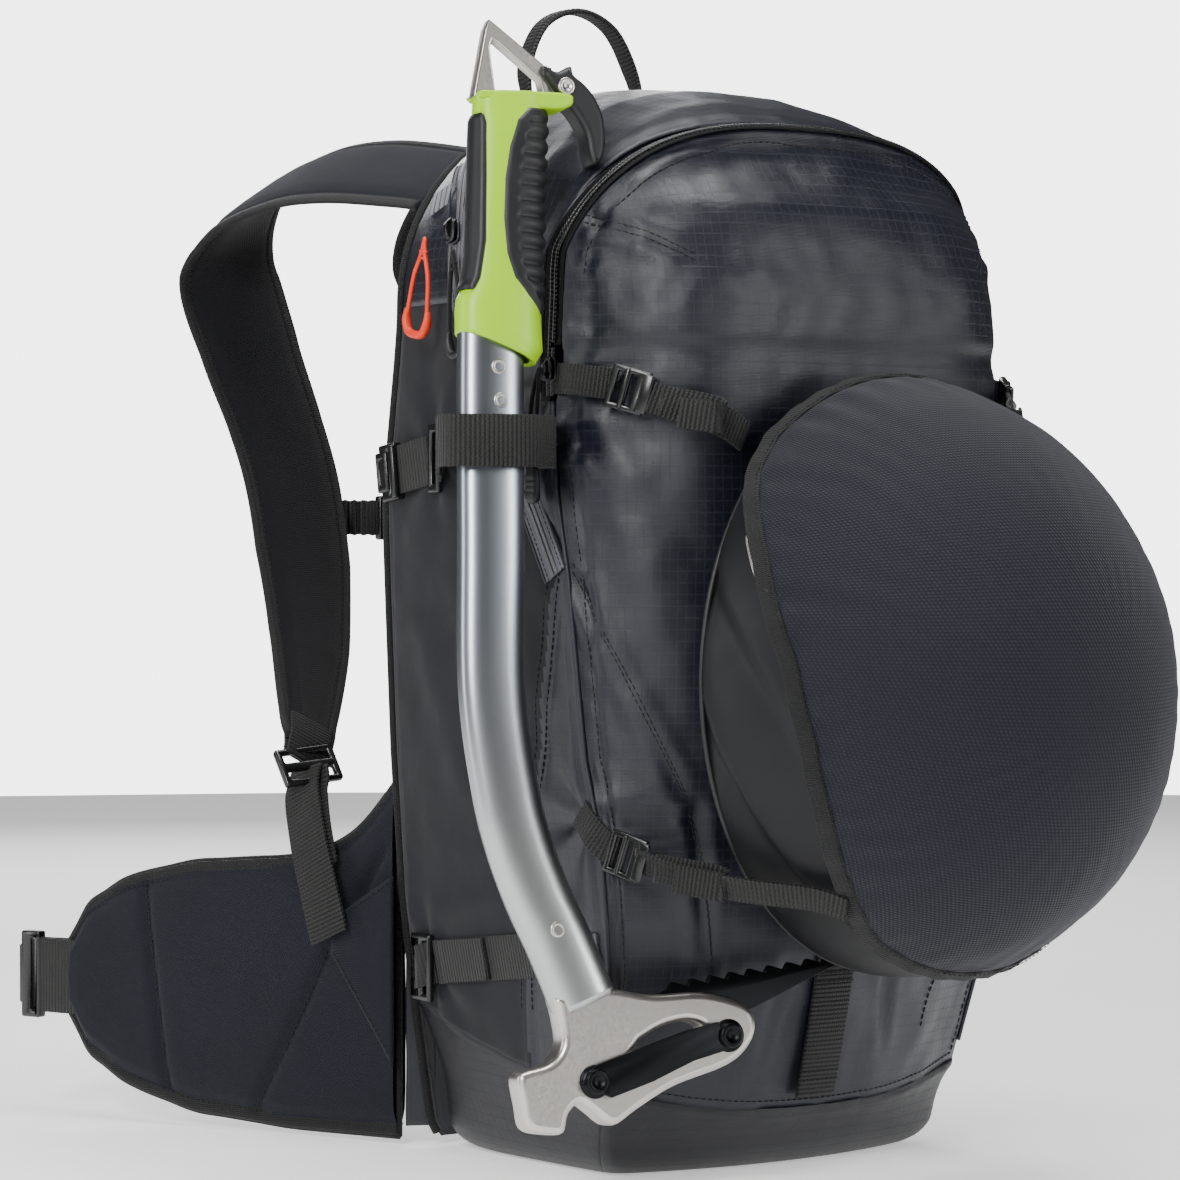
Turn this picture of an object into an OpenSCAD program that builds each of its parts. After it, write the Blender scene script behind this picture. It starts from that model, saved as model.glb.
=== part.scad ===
// Ski touring backpack with a helmet holder and an ice tool carry.
// Millimetres, +Z up. The origin is the centre of the base, on the ground.
// The outer face looks to -Y, the harness to +Y, and the wearer's left side is -X.

/* [Bag] */
// Half width of the bag at its shoulders
bag_w = 122; // [112:1:130]
// Y of the outside of the back, where the harness starts
back_y = 86; // [80:1:92]
// Y of the front of the bag at its fullest
front_y = -112; // [-118:1:-104]
// Height of the bag without its haul loop
bag_h = 503; // [490:1:515]
// Thickness of the sewn and stiffened fabric panels
panel_t = 2.5; // [1.5:0.1:3]
// Height of the base boot at its middle
boot_h = 42; // [35:1:48]

/* [Front flap] */
// Height of the fold that the front flap opens about
flap_z = 374; // [372:1:380]
// Width of each half of the main zip
zip_w = 4.6; // [3:0.1:5.5]

/* [Harness] */
// Width of the shoulder straps
strap_w = 62; // [50:1:66]
// Thickness of the shoulder straps
strap_t = 9; // [6:0.5:11]
// Width of the tool strap and the adjuster webbing
web_w = 23; // [20:1:24]
// Thickness of all webbing
web_t = 1.8; // [1.4:0.1:2.4]
// Length of a hip wing from the bag to its tip
wing_len = 206; // [200:1:226]
// Thickness of a hip wing
wing_t = 11; // [8:0.5:13]

/* [Helmet] */
// Half width of the helmet
helmet_x = 110; // [104:1:113]
// Depth of the helmet from its rim to its crown
helmet_y = 142; // [140:1:156]
// Half length of the helmet
helmet_z = 134; // [125:1:138]
// Y of the helmet's rim
rim_y = -134; // [-138:1:-132]
// Thickness of the helmet's shell
shell_t = 2; // [2:0.5:4]
// Thickness of the foam liner in the helmet
liner_t = 12; // [10:1:22]

/* [Ice tool] */
// Width of the shaft
shaft_w = 31; // [26:0.5:34]
// Thickness of the shaft
shaft_t = 18; // [14:0.5:20]
// Wall of the shaft's tube
shaft_wall = 2; // [1.5:0.25:3]
// Thickness of the pick
pick_t = 4; // [3:0.5:5]

/* [Hidden] */

mid_z = 400;                 // height where the arch of the bag begins
base_r = 14;                 // rounding of the bag's bottom edge
gap = 0.4;                   // clearance between neighbouring sewn panels
navy = "#23252f";
black = "#161719";
charcoal = "#303238";

// ---- helpers -------------------------------------------------------------
function flat(m) = [for (row = m) for (p = row) p];
function unit(v) = v / norm(v);
function mix(a, b, t) = a + (b - a) * t;
function pow_sign(v, p) = sign(v) * pow(abs(v), p);
function tangent(P, i) = unit(P[min(i + 1, len(P) - 1)] - P[max(i - 1, 0)]);
function loop_tangent(P, i) = unit(P[(i + 1) % len(P)] - P[(i + len(P) - 1) % len(P)]);
function curve4(a, b, c, d, t) = 0.5 * (2 * b + (c - a) * t
    + (2 * a - 5 * b + 4 * c - d) * t * t + (3 * b - a - 3 * c + d) * t * t * t);
// A smooth curve through the points P, with n steps between each two
function smooth(P, n) = concat([for (i = [0:len(P) - 2]) for (k = [0:n - 1])
    curve4(P[max(i - 1, 0)], P[i], P[i + 1], P[min(i + 2, len(P) - 1)], k / n)],
    [P[len(P) - 1]]);
function square_section() = [[-0.5, -0.5], [0.5, -0.5], [0.5, 0.5], [-0.5, 0.5]];
function pad_section() = [[-0.5, -0.18], [-0.42, -0.5], [0.42, -0.5], [0.5, -0.18],
    [0.5, 0.18], [0.42, 0.5], [-0.42, 0.5], [-0.5, 0.18]];
function round_section(n = 8) = [for (k = [0:n - 1]) 0.5 * [cos(k * 360 / n), sin(k * 360 / n)]];

// One closed solid from rings of points that have equal lengths
module skin_rings(rings, closed = false) {
    n = len(rings[0]);
    m = len(rings);
    sides = [for (i = [0:m - (closed ? 1 : 2)]) for (j = [0:n - 1])
        let (a = i * n + j, b = i * n + (j + 1) % n,
            c = ((i + 1) % m) * n + (j + 1) % n, d = ((i + 1) % m) * n + j)
        each [[a, d, c], [a, c, b]]];
    ends = closed ? [] : [[for (j = [0:n - 1]) j], [for (j = [n - 1:-1:0]) (m - 1) * n + j]];
    polyhedron(flat(rings), concat(sides, ends), convexity = 8);
}

// A strap or cord: section swept along P, its width lying along W
module sweep(P, W, size, section, closed = false) {
    rings = [for (i = [0:len(P) - 1])
        let (t = closed ? loop_tangent(P, i) : tangent(P, i),
            side = is_list(W[0]) ? W[i] : W,
            s = is_list(size[0]) ? size[i] : size,
            nrm = unit(cross(t, side)), wid = cross(nrm, t))
        [for (q = section) P[i] + q[0] * s[0] * wid + q[1] * s[1] * nrm]];
    skin_rings(rings, closed);
}
module webbing(P, W, w = web_w, t = web_t) { sweep(P, W, [w, t], square_section()); }
module cord(P, d, W = [1, 0, 0]) { sweep(P, W, [d, d], round_section(8)); }

// A sheet with thickness: two grids of points joined round their edge.
// Seen from outside, the rows of the outer grid go up and its columns go right.
module slab(outer, inner) {
    r = len(outer);
    c = len(outer[0]);
    o = r * c;
    faces = [for (i = [0:r - 2]) for (j = [0:c - 2])
        let (a = i * c + j, b = a + 1, d = a + c, e = d + 1)
        each [[a, d, e], [a, e, b], [o + a, o + e, o + d], [o + a, o + b, o + e]]];
    low_high = [for (j = [0:c - 2]) let (a = j, b = j + 1, d = (r - 1) * c + j, e = d + 1)
        each [[a, b, o + b], [a, o + b, o + a], [d, o + e, e], [d, o + d, o + e]]];
    left_right = [for (i = [0:r - 2]) let (a = i * c, d = a + c, b = a + c - 1, e = b + c)
        each [[a, o + d, d], [a, o + a, o + d], [b, e, o + e], [b, o + e, o + b]]];
    polyhedron(concat(flat(outer), flat(inner)),
        concat(faces, low_high, left_right), convexity = 8);
}

// A cup with walls: rings from the rim to the crown, outside and inside
module cup(outer, outer_tip, inner, inner_tip) {
    n = len(outer[0]);
    r = len(outer);
    o = n * r;
    tip = 2 * o;
    walls = [for (i = [0:r - 2]) for (j = [0:n - 1])
        let (a = i * n + j, b = i * n + (j + 1) % n, d = a + n, e = b + n)
        each [[a, e, b], [a, d, e], [o + a, o + b, o + e], [o + a, o + e, o + d]]];
    caps = [for (j = [0:n - 1]) let (a = (r - 1) * n + j, b = (r - 1) * n + (j + 1) % n)
        each [[a, tip, b], [o + a, o + b, tip + 1]]];
    rim = [for (j = [0:n - 1]) let (a = j, b = (j + 1) % n)
        each [[a, b, o + b], [a, o + b, o + a]]];
    polyhedron(concat(flat(outer), flat(inner), [outer_tip, inner_tip]),
        concat(walls, caps, rim), convexity = 8);
}
module both_sides() { children(); mirror([1, 0, 0]) children(); }

// ---- the shape of the bag ------------------------------------------------
function base_round(z) = z < base_r ? base_r - sqrt(max(0, base_r * base_r
    - (base_r - z) * (base_r - z))) : 0;
function side_x(z) = lookup(z, [[0, 98], [60, 108], [120, 116], [190, 121], [260, 124],
    [310, 126], [360, 124], [mid_z, bag_w]]) - base_round(z);
// Y of the seam between the side and the front
function seam_y(z) = lookup(z, [[0, -54], [30, -60], [60, -66], [93, -74], [120, -77], [160, -75],
    [191, -68], [274, -60], [330, -50], [361, -48], [420, -48], [456, -66], [479, -75]])
    + base_round(z);
function centre_y(z) = lookup(z, [[0, -70], [30, -84], [60, -92], [100, -101], [200, -109],
    [300, front_y], [mid_z, front_y + 2], [440, -101], [479, -75]]) + base_round(z);
// How square the front is: the power of its fall to the seams
function face_power(z) = lookup(z, [[0, 2.1], [100, 2.3], [250, 4.5], [mid_z, 6], [479, 3]]);
// The arch of the bag's top at a depth y: its height, half width and squareness
function arch_h(y) = lookup(y, [[-75, 79], [-48, 90], [-20, 99], [20, bag_h - mid_z],
    [60, 102], [back_y, 97]]);
function arch_w(y) = lookup(y, [[20, bag_w], [back_y, bag_w - 5]]);
function arch_n(y) = lookup(y, [[-75, 2.6], [20, 2.4], [back_y, 2.1]]);
function arch_x(a, y) = -arch_w(y) * pow_sign(cos(a), 2 / arch_n(y));
function arch_z(a, y) = mid_z + arch_h(y) * pow(abs(sin(a)), 2 / arch_n(y));
// Y of the line of the main zip: a is 0 at the left end of its arch, 180 at the right
function arch_y(a) = seam_y(arch_z(a, -75));
// 1 on the line of the main zip, 0 on the middle of the front
function front_r(x, z) = z <= mid_z ? abs(x) / side_x(z)
    : pow(pow(abs(x) / bag_w, 2.6) + pow((z - mid_z) / arch_h(-75), 2.6), 1 / 2.6);
function face_y(x, z) = mix(centre_y(z), seam_y(z), pow(min(1, front_r(x, z)), face_power(z)));

// ---- bag panels ----------------------------------------------------------
module side_panel(sgn) {
    zs = [for (k = [0:14]) mix(boot_h + 9, mid_z - gap, k / 14)];
    ys = [for (k = [0:8]) k / 8];
    function row(z, t) = [for (u = (sgn < 0 ? [for (k = [8:-1:0]) ys[k]] : ys))
        [sgn * (side_x(z) - t - 4 * pow(max(0, u * 2 - 1), 4)),
            mix(seam_y(z) + panel_t + 6, back_y - 1, u), z]];
    slab([for (z = zs) row(z, 0)], [for (z = zs) row(z, panel_t)]);
}
module side_panel_left() { color(navy) side_panel(-1); }
module side_panel_right() { color(navy) side_panel(1); }

module top_panel() {
    angles = [for (k = [0:24]) k * 180 / 24];
    function point(a, u, t) = let (y = mix(arch_y(a) + panel_t + 6, back_y - 1, u))
        [arch_x(a, y) * (1 - t / bag_w - 0.033 * pow(max(0, u * 2 - 1), 4)), y,
            mid_z + (arch_z(a, y) - mid_z) * (1 - t / 100) - (t > 0 ? 0.01 : 0)];
    color(navy) slab([for (k = [0:8]) [for (a = angles) point(a, k / 8, 0)]],
        [for (k = [0:8]) [for (a = angles) point(a, k / 8, panel_t)]]);
}

module front_sheet(zs, cols, r_max) {
    function row(z, t) = [for (u = cols) let (x = u * side_x(z) * r_max)
        [x, face_y(x, z) + t, z]];
    slab([for (z = zs) row(z, 0)], [for (z = zs) row(z, panel_t)]);
}
module lower_front_panel() {
    zs = [for (k = [0:15]) mix(boot_h + 9, flap_z - 2, k / 15)];
    color(navy) front_sheet(zs, [for (k = [-9:9]) sin(k * 10)], 0.995);
}

// A tray with a flat floor and a wall that follows the bag's outline
module base_boot() {
    function ring(z, t) = let (w = side_x(z) - t, back = back_y - base_round(z) - t) concat(
        [for (k = [-8:8]) let (x = sin(k * 11.25) * w) [x, face_y(x, z) + t, z]],
        [for (k = [1:4]) [w + k * (5 - k) * 0.08, mix(seam_y(z), back - 14, k / 4), z]],
        [[w - 4, back - 3, z], [w - 14, back - 0.5, z]],
        [for (k = [-3:3]) [-k * (w - 14) / 3.7, back - abs(k) * 0.12, z]],
        [[14 - w, back - 0.5, z], [4 - w, back - 3, z]],
        [for (k = [4:-1:1]) [-w - k * (5 - k) * 0.08, mix(seam_y(z), back - 14, k / 4), z]]);
    levels = [0, 2, 5, 9, 14, 25, boot_h + 8.5];
    color(charcoal) skin_rings(concat([for (z = levels) ring(z, 0)],
        [for (k = [len(levels) - 1:-1:2]) ring(levels[k], panel_t)]));
}

module back_panel() {
    angles = [for (k = [0:16]) k * 180 / 16];
    color(charcoal) translate([0, back_y + 5, 0]) rotate([90, 0, 0]) linear_extrude(5 - gap)
        polygon(concat([[bag_w - 26, 4], [bag_w - 18, 30], [bag_w - 6, 120]],
            [for (k = [len(angles) - 1:-1:0]) [arch_x(angles[k], back_y) * 0.97,
                arch_z(angles[k], back_y)]],
            [[6 - bag_w, 120], [18 - bag_w, 30], [26 - bag_w, 4]]));
}
module rounded_slab(w, h, t, r) {
    hull() for (x = [-1, 1]) for (y = [-1, 1])
        translate([x * (w / 2 - r), y * (h / 2 - r), 0]) cylinder(r = r, h = t, $fn = 32);
}
module back_pads() {
    color(black) both_sides() translate([-52, back_y + 5 + 12 + gap, 300]) rotate([90, 0, 0])
        rounded_slab(62, 240, 12, 16);
    color(black) translate([0, back_y + 5 + 12 + gap, 110]) rotate([90, 0, 0])
        rounded_slab(150, 100, 12, 20);
}
module frame_sheet() {
    color("#e8e8e4") translate([0, back_y - 7, 0]) rotate([90, 0, 0]) linear_extrude(1.5)
        polygon([[-88, 30], [88, 30], [98, 200], [98, 380], [80, 450], [-80, 450], [-98, 380],
            [-98, 200]]);
}
module frame_stay() {
    color("silver") for (x = [-24, 24]) translate([x - 6, back_y - 6.6, 35]) cube([12, 3, 405]);
}
module tool_divider() {
    color("#8c2f28") translate([0, back_y - 40, 0]) rotate([90, 0, 0]) linear_extrude(1.2)
        polygon([[-98, 20], [98, 20], [112, 150], [112, 330], [-112, 330], [-112, 150]]);
}

// ---- zips ----------------------------------------------------------------
// The line of the main zip, up the left, over the arch and down the right
zip_line = concat([for (z = [354, 377]) [-side_x(z), seam_y(z) + 1.2, z]],
    [for (k = [0:24]) let (a = k * 7.5) [arch_x(a, -75), arch_y(a) + 1.2, arch_z(a, -75)]],
    [for (z = [377, 354]) [side_x(z), seam_y(z) + 1.2, z]]);
function zip_shift(d, s) = [for (p = zip_line)
    [p[0] * (1 - s / bag_w), p[1] + d, p[2] > mid_z ? mid_z + (p[2] - mid_z) * (1 - s / 90) : p[2]]];
module main_zip_bag_half() {
    color(black) sweep(zip_shift(zip_w / 2 + 0.6, -0.4), [0, 1, 0], [zip_w, 1.8], square_section());
}
module main_zip_flap_half() {
    P = zip_shift(-1.9, 1.6);
    color(black) sweep([for (i = [1:len(P) - 2]) P[i]], [0, 1, 0], [3.4, 1.8], square_section());
}
module front_flap() {
    cols = [for (k = [0:20]) k * 9];
    function point(a, v, t) = let (x1 = arch_x(a, -75), z1 = arch_z(a, -75),
        x = mix(side_x(flap_z) * -cos(a), x1, v) * (1 - 3.4 / bag_w),
        z = mix(flap_z + 0.5, mid_z + (z1 - mid_z) * 0.963, v)) [x, face_y(x, z) - 3.4 + t, z];
    color(navy) slab([for (k = [0:10]) [for (a = cols) point(a, k / 10, 0)]],
        [for (k = [0:10]) [for (a = cols) point(a, k / 10, panel_t)]]);
}
slider_l = [-bag_w - 3.4, seam_y(360), 366];
slider_r = [bag_w + 3.4, seam_y(360), 372];
module main_zip_slider_left() {
    color("#2b2c2f") translate(slider_l) difference() {
        translate([-4.4, -3.8, -5.5]) cube([4.3, 7.6, 11]);
        translate([-2.6, 0, 1.5]) rotate([90, 0, 0]) cylinder(d = 1.8, h = 20, center = true, $fn = 24);
    }
}
module pull_cord_loop(len, w, d) {
    P = smooth([[0, 0.4, 0], [-2, 1.6, -8], [-3.8, w / 2, -len * 0.5], [-3.8, w / 2, -len * 0.8],
        [-3.8, w * 0.25, -len], [-3.8, -w * 0.25, -len], [-3.8, -w / 2, -len * 0.8],
        [-3.8, -w / 2, -len * 0.5], [-2, -1.6, -8], [0, -0.4, 0]], 3);
    cord(P, d);
}
module main_zip_pull_left() {
    color(black) translate(slider_l + [-6.6, 0, -1]) {
        pull_cord_loop(40, 5, 2);
        translate([-5.8, -4, -60]) rounded_bar(4, 8, 18.8);
    }
}
module rounded_bar(x, y, z) {
    hull() for (c = [y / 2, z - y / 2])
        translate([0, y / 2, c]) rotate([0, 90, 0]) cylinder(d = y, h = x, $fn = 32);
}
module main_zip_slider_right() {
    color("#2b2c2f") translate(slider_r) translate([0.1, -3.8, -5.5]) cube([4.3, 7.6, 11]);
}
module main_zip_puller_right() {
    color("#6b6d70") translate(slider_r + [5, 0, 0]) rotate([0, -52, 0]) difference() {
        translate([0, -5.5, -32]) cube([4, 11, 32.4]);
        translate([2, 0, -27]) rotate([0, 90, 0]) cylinder(d = 4.5, h = 10, center = true, $fn = 24);
    }
}

// The grey zip of the tool compartment, down the left side
side_zip_route = [[0, 58, 470], [0, 35, 441], [0, 19, 387], [0, -28, 317], [0, -52, 274]];
function on_side(p, out) = [-(p[2] > mid_z ? arch_w(p[1]) * pow(max(0.01,
    1 - pow((p[2] - mid_z) / arch_h(p[1]), arch_n(p[1]))), 1 / arch_n(p[1]))
    : side_x(p[2])) - out, p[1], p[2]];
// The way out of the left side's surface at a height and depth
function side_normal(p) = unit(cross(on_side(p + [0, 0, 3], 0) - on_side(p - [0, 0, 3], 0),
    on_side(p + [0, 3, 0], 0) - on_side(p - [0, 3, 0], 0)));
side_zip_line = [for (p = smooth(side_zip_route, 5)) on_side(p, 1.5)];
module side_zip() {
    W = [for (i = [0:len(side_zip_line) - 1])
        cross(side_normal(side_zip_line[i]), tangent(side_zip_line, i))];
    color("#6f7078") sweep(side_zip_line, W, [14, 1.5], square_section());
}

function side_zip_point(z) = on_side([0, lookup(z, [for (k = [4:-1:0])
    [side_zip_route[k][2], side_zip_route[k][1]]]), z], 0);
side_slide_at = side_zip_point(432);
module side_zip_slider() {
    color("#2b2c2f") translate(side_slide_at + [-7, 0, 0]) rotate([0, 15, 0]) difference() {
        translate([0, -4, -6]) cube([3.6, 8, 12]);
        translate([1.6, 0, 3]) rotate([90, 0, 0]) cylinder(d = 1.6, h = 20, center = true, $fn = 24);
    }
}
// A moulded finger loop: a U that the cord's two ends run into
module pull_end(w, h, d) {
    P = smooth([[0, -w / 2, h], [0, -w / 2, h * 0.3], [0, -w * 0.3, 0], [0, w * 0.3, 0],
        [0, w / 2, h * 0.3], [0, w / 2, h]], 3);
    cord(P, d);
}
module side_pull(len, w) {
    P = smooth([[0, -w / 2, -len], [0, -w / 2 - 1, -len * 0.6], [0, -1.5, -5], [0, 0, 0],
        [0, 1.5, -5], [0, w / 2 + 1, -len * 0.6], [0, w / 2, -len]], 4);
    cord(P, 2.2);
    translate([0, 0, -len - 10.2]) pull_end(w, 10, 3.6);
}
orange_at = side_slide_at + [-15.4, 7, -3];
black_at = side_slide_at + [-10.8, -9, -9];
module side_zip_pull_orange() {
    color("#f0502e") translate(orange_at) rotate([8, 0, 0]) side_pull(36, 13);
}
module side_zip_pull_black() {
    color(black) translate(black_at) rotate([-3, 0, 0]) side_pull(40, 10);
}
module grey_tabs() {
    color("#8d9097") webbing([on_side([0, 66, 448], 1.7), on_side([0, 54, 452], 1.7)],
        [0.45, 0, 1], 12, 1.6);
    color("#8d9097") webbing([for (p = [[0, -56, 104], [0, -69, 104]]) on_side(p, 1.5)],
        [-0.13, 0, 1], 20, 1.6);
}
module haul_loop() {
    P = smooth([[-43, back_y - 8, 499], [-42, back_y - 2, 519], [-30, back_y, 541],
        [-9, back_y, 549], [12, back_y, 541], [24, back_y - 2, 519], [25, back_y - 8, 501.6]], 4);
    color(black) sweep(P, [0, 1, 0.02], [for (i = [0:24]) [min(i, 24 - i) < 2 ? 6 : 11, 2.4]],
        square_section());
}

// ---- ice tool carry ------------------------------------------------------
// The tool stands beside the bag; x runs to the pick, z up the shaft, y through it
tool_at = [-184, -84, 90];
tool_turn = [-6.9, 2.6, -13.5];
module at_tool() {
    translate(tool_at) rotate(tool_turn) children();
}
module upper_tool_strap() {
    P = smooth([[-126.8, -41, 333], [-134, -62, 333], [-153, -74.5, 333], [-172, -72, 333],
        [-187.5, -64, 333], [-189, -52, 333], [-182, -40, 332], [-152, 2, 330], [-131, 30, 328]], 4);
    color(black) webbing(P, [0, 0, 1]);
    color(black) webbing([[-128.6, 41, 327], [-129.5, 52, 325], [-129.5, 63, 323]],
        [0, 0, 1]);
}
module rect_bar(w, h, d, bar = true) {
    difference() {
        cube([d, w, h], center = true);
        for (s = bar ? [-1, 1] : [0]) translate([0, s * w * 0.22, 0])
            cube([d + 2, bar ? w * 0.26 : w - 2 * d, h - 2 * d], center = true);
    }
}
module upper_strap_bar() {
    color("#1c1d20") translate([-129.6, 35.6, 327.5]) rotate([0, 0, 6]) rect_bar(7.4, 32, 2.6, false);
}
module upper_strap_buckle() {
    color("#1c1d20") translate([-129.8, 70.8, 321.5]) rotate([-8, 0, 0]) difference() {
        hull() {
            translate([-3, -6.4, -13]) cube([6, 8, 26]);
            translate([-3, 2, -9]) cube([6, 5, 18]);
        }
        translate([-4, -3.4, -10.5]) cube([8, 5, 21]);
    }
}
module lower_tool_strap() {
    P = [for (k = [0:9]) on_side([0, mix(57, -54, k / 9), mix(91, 104, k / 9)], 1.5)];
    color(black) webbing(P, [-0.13, 0, 1], 21, web_t);
}
module lower_strap_ring() {
    color("#1c1d20") translate([-115.6, 66, 88]) rotate([0, 0, -4]) rect_bar(15, 31, 3.4);
}

// ---- helmet and its holder -----------------------------------------------
helmet_c = 227;
// A point of the helmet's dome: f turns round the rim, s is 0 at the rim and 1 at the crown
function dome(f, s, off) = let (r = sqrt(max(0, 1 - s * s)))
    [(helmet_x + off) * r * cos(f), rim_y - (helmet_y + off) * s,
        helmet_c - 9 * s + (helmet_z + off) * r * sin(f)];
function dome_rings(from, off, n, c) = [for (i = [0:n - 1]) [for (k = [0:c - 1])
    let (f = k * 360 / c, s0 = is_list(from) ? from[k] : from, lat0 = asin(s0),
        lat = mix(lat0, 90, i / n)) dome(f, sin(lat), off)]];
module dome_cup(from, out, in, n = 9, c = 28) {
    cup(dome_rings(from, out, n, c), [0, rim_y - helmet_y - out, helmet_c - 9],
        dome_rings(from, in, n, c), [0, rim_y - helmet_y - in, helmet_c - 9]);
}
module helmet_shell() { color("#3c3e42") dome_cup(0, 0, -shell_t); }
module helmet_liner() {
    color("#1b1c1e") dome_cup(0.01, -shell_t - 0.5, -shell_t - liner_t);
}
// How far in from the rim the net's edge lies, round the helmet
function net_edge(f) = let (g = f < -90 ? f + 360 : f, a = g > 90 ? 180 - g : g)
    lookup(a, [[-90, 0.42], [-58, 0.38], [-45, 0.42], [-25, 0.457], [-10, 0.452], [5, 0.4],
    [17, 0.3], [26, 0.22], [34, 0.13], [42, 0.06], [52, 0.03], [90, 0.08]]);
net_segments = 28;
net_from = [for (k = [0:net_segments - 1]) net_edge(k * 360 / net_segments > 270
    ? k * 360 / net_segments - 360 : k * 360 / net_segments)];
module helmet_net() { color(navy) dome_cup(net_from, 3.4, 1.4, 8, net_segments); }
module net_binding() {
    P = [for (k = [0:net_segments - 1]) let (p = dome(k * 360 / net_segments,
        max(0.005, net_from[k] - 0.022), 3)) p];
    color(black) sweep(P, [0, 1, 0], [4, 3], round_section(8), true);
}
upper_corner = [-68, -116, 334];
lower_corner = [-75.8, -192.5, 129];
module net_straps() {
    color(black) both_sides() {
        webbing(smooth([[-125.4, -54, 362], [-123.4, -68, 361], [-118.6, -79.4, 359]], 3),
            [0.1, -0.15, 1], 14);
        webbing(smooth([[-108.4, -98.6, 353], [-97, -113, 346], upper_corner + [-6, -3, 4]], 3),
            [0.2, 0, 1], 14);
        webbing(smooth([[-120.6, -68, 164], [-122, -75, 158], [-120.4, -80.8, 153]], 3),
            [0.1, -0.25, 1], 14);
        webbing(smooth([[-111.6, -100.2, 146], [-106, -124, 140], [-97, -152, 136],
            lower_corner + [-8, 13, 5], lower_corner], 3), [-0.1, -0.25, 0.9], 12);
    }
}
lock_at = [[-113.5, -89, 356], [-116, -90.5, 149.5]];
module net_ladder_locks() {
    color("#1c1d20") both_sides() {
        translate(lock_at[0]) rotate([0, 16, -56]) rotate([90, 0, 0]) lock_body();
        translate(lock_at[1]) rotate([0, 18, -66]) rotate([90, 0, 0]) lock_body();
    }
}
module lock_body() {
    difference() {
        translate([-9, -9.5, -2.2]) cube([18, 19, 4.4]);
        for (x = [-5.5, 0.8]) translate([x, -7.3, -3]) cube([4.2, 14.6, 6]);
    }
}
module ski_strap() {
    color(black) webbing([for (z = [200, 160, 120, 100, 80, 60, 36])
        [-4, face_y(-4, z) - 1.5, z]],
        [1, 0, 0], 22, web_t);
}

// ---- harness -------------------------------------------------------------
strap_route = [[-66, 103, 463], [-66, 130, 468], [-67, 190, 475], [-68, 240, 474],
    [-69, 286, 462], [-68, 309, 432], [-66, 292, 389], [-64, 272, 352], [-65, 254, 320],
    [-72, 233, 281], [-85, 208, 240], [-106, 178, 203], [-116, 163, 190]];
strap_sizes = [58, 60, 62, 62, 62, 60, 57, 55, 55, 54, 46, 33, 26];
strap_rolls = [28, 30, 32, 33, 32, 29, 22, 15, 9, 4, -2, -8, -16];
module shoulder_strap() {
    steps = 2;
    P = smooth(strap_route, steps);
    n = len(P) - 1;
    sizes = [for (i = [0:n]) [lookup(i / steps, [for (k = [0:12]) [k, strap_sizes[k]]])
        * strap_w / 62, strap_t]];
    W = [for (i = [0:n]) let (r = lookup(i / steps, [for (k = [0:12]) [k, strap_rolls[k]]]))
        [cos(r), 0, sin(r)]];
    sweep(P, W, sizes, pad_section());
}
module shoulder_strap_left() { color(navy) shoulder_strap(); }
module shoulder_strap_right() { color(navy) mirror([1, 0, 0]) shoulder_strap(); }
ring_at = [-122, 153.5, 180];
module strap_ring() {
    translate(ring_at) rotate([-35, 0, 0]) rotate([0, 0, -10]) difference() {
        cube([30, 4, 20], center = true);
        for (z = [-4.6, 4.6]) translate([0, 0, z]) cube([24, 8, 5.4], center = true);
    }
}
module strap_ring_left() { color("#1c1d20") strap_ring(); }
module strap_ring_right() { color("#1c1d20") mirror([1, 0, 0]) strap_ring(); }
module adjuster_web() {
    P = smooth([[-127.6, 150, 165], [-132.5, 138, 146], [-135.6, 124, 122], [-136.2, 114, 100]], 4);
    webbing(P, [-0.2, 0.6, -0.4]);
}
module adjuster_web_left() { color(black) adjuster_web(); }
module adjuster_web_right() { color(black) mirror([1, 0, 0]) adjuster_web(); }
module adjuster_tabs() {
    function tab(t) = [for (p = [[87, 40], [87, 130], [117, 108], [118, 92]])
        [-116.6 - t - (p[0] - 87) * 0.45, p[0], p[1]]];
    color(navy) both_sides() skin_rings([tab(0), tab(2.4)]);
}
// Heights of a hip wing's lower and upper edges, along it from 0 to 1
function wing_low(u) = lookup(u, [[0, 4], [0.3, 4], [0.6, 8], [0.8, 18], [0.92, 32], [1, 56]]);
function wing_high(u) = lookup(u, [[0, 176], [0.08, 156], [0.18, 142], [0.3, 136], [0.6, 131],
    [0.8, 122], [0.92, 108], [1, 84]]);
wing_start = [-108, 96, 0];
wing_dir = [-0.34, 0.94, 0];
module hip_wing() {
    us = [for (k = [0:12]) sin(k * 7.5)];
    side = [wing_dir[1], -wing_dir[0], 0] / norm(wing_dir);
    function point(u, v, t) = wing_start + wing_dir * wing_len * u + side * t
        + [0, 0, mix(wing_low(u), wing_high(u), v)];
    function half(v, u) = wing_t * (0.32 + 0.18 * min(1, 5 * min(v, 1 - v)))
        * (u > 0.9 ? 1 - 3 * (u - 0.9) : 1);
    slab([for (v = [0:0.1:1]) [for (k = [12:-1:0]) point(us[k], v, -half(v, us[k]))]],
        [for (v = [0:0.1:1]) [for (k = [12:-1:0]) point(us[k], v, half(v, us[k]))]]);
}
module hip_wing_left() { color(navy) hip_wing(); }
module hip_wing_right() { color(navy) mirror([1, 0, 0]) hip_wing(); }
tip_at = wing_start + wing_dir * (wing_len + 1) + [0, 0, 70];
module hip_web() { webbing([tip_at, tip_at + wing_dir * 14], [0, 0, 1], 38, 2.2); }
module hip_web_left() { color(black) hip_web(); }
module hip_web_right() { color(black) mirror([1, 0, 0]) hip_web(); }
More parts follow.
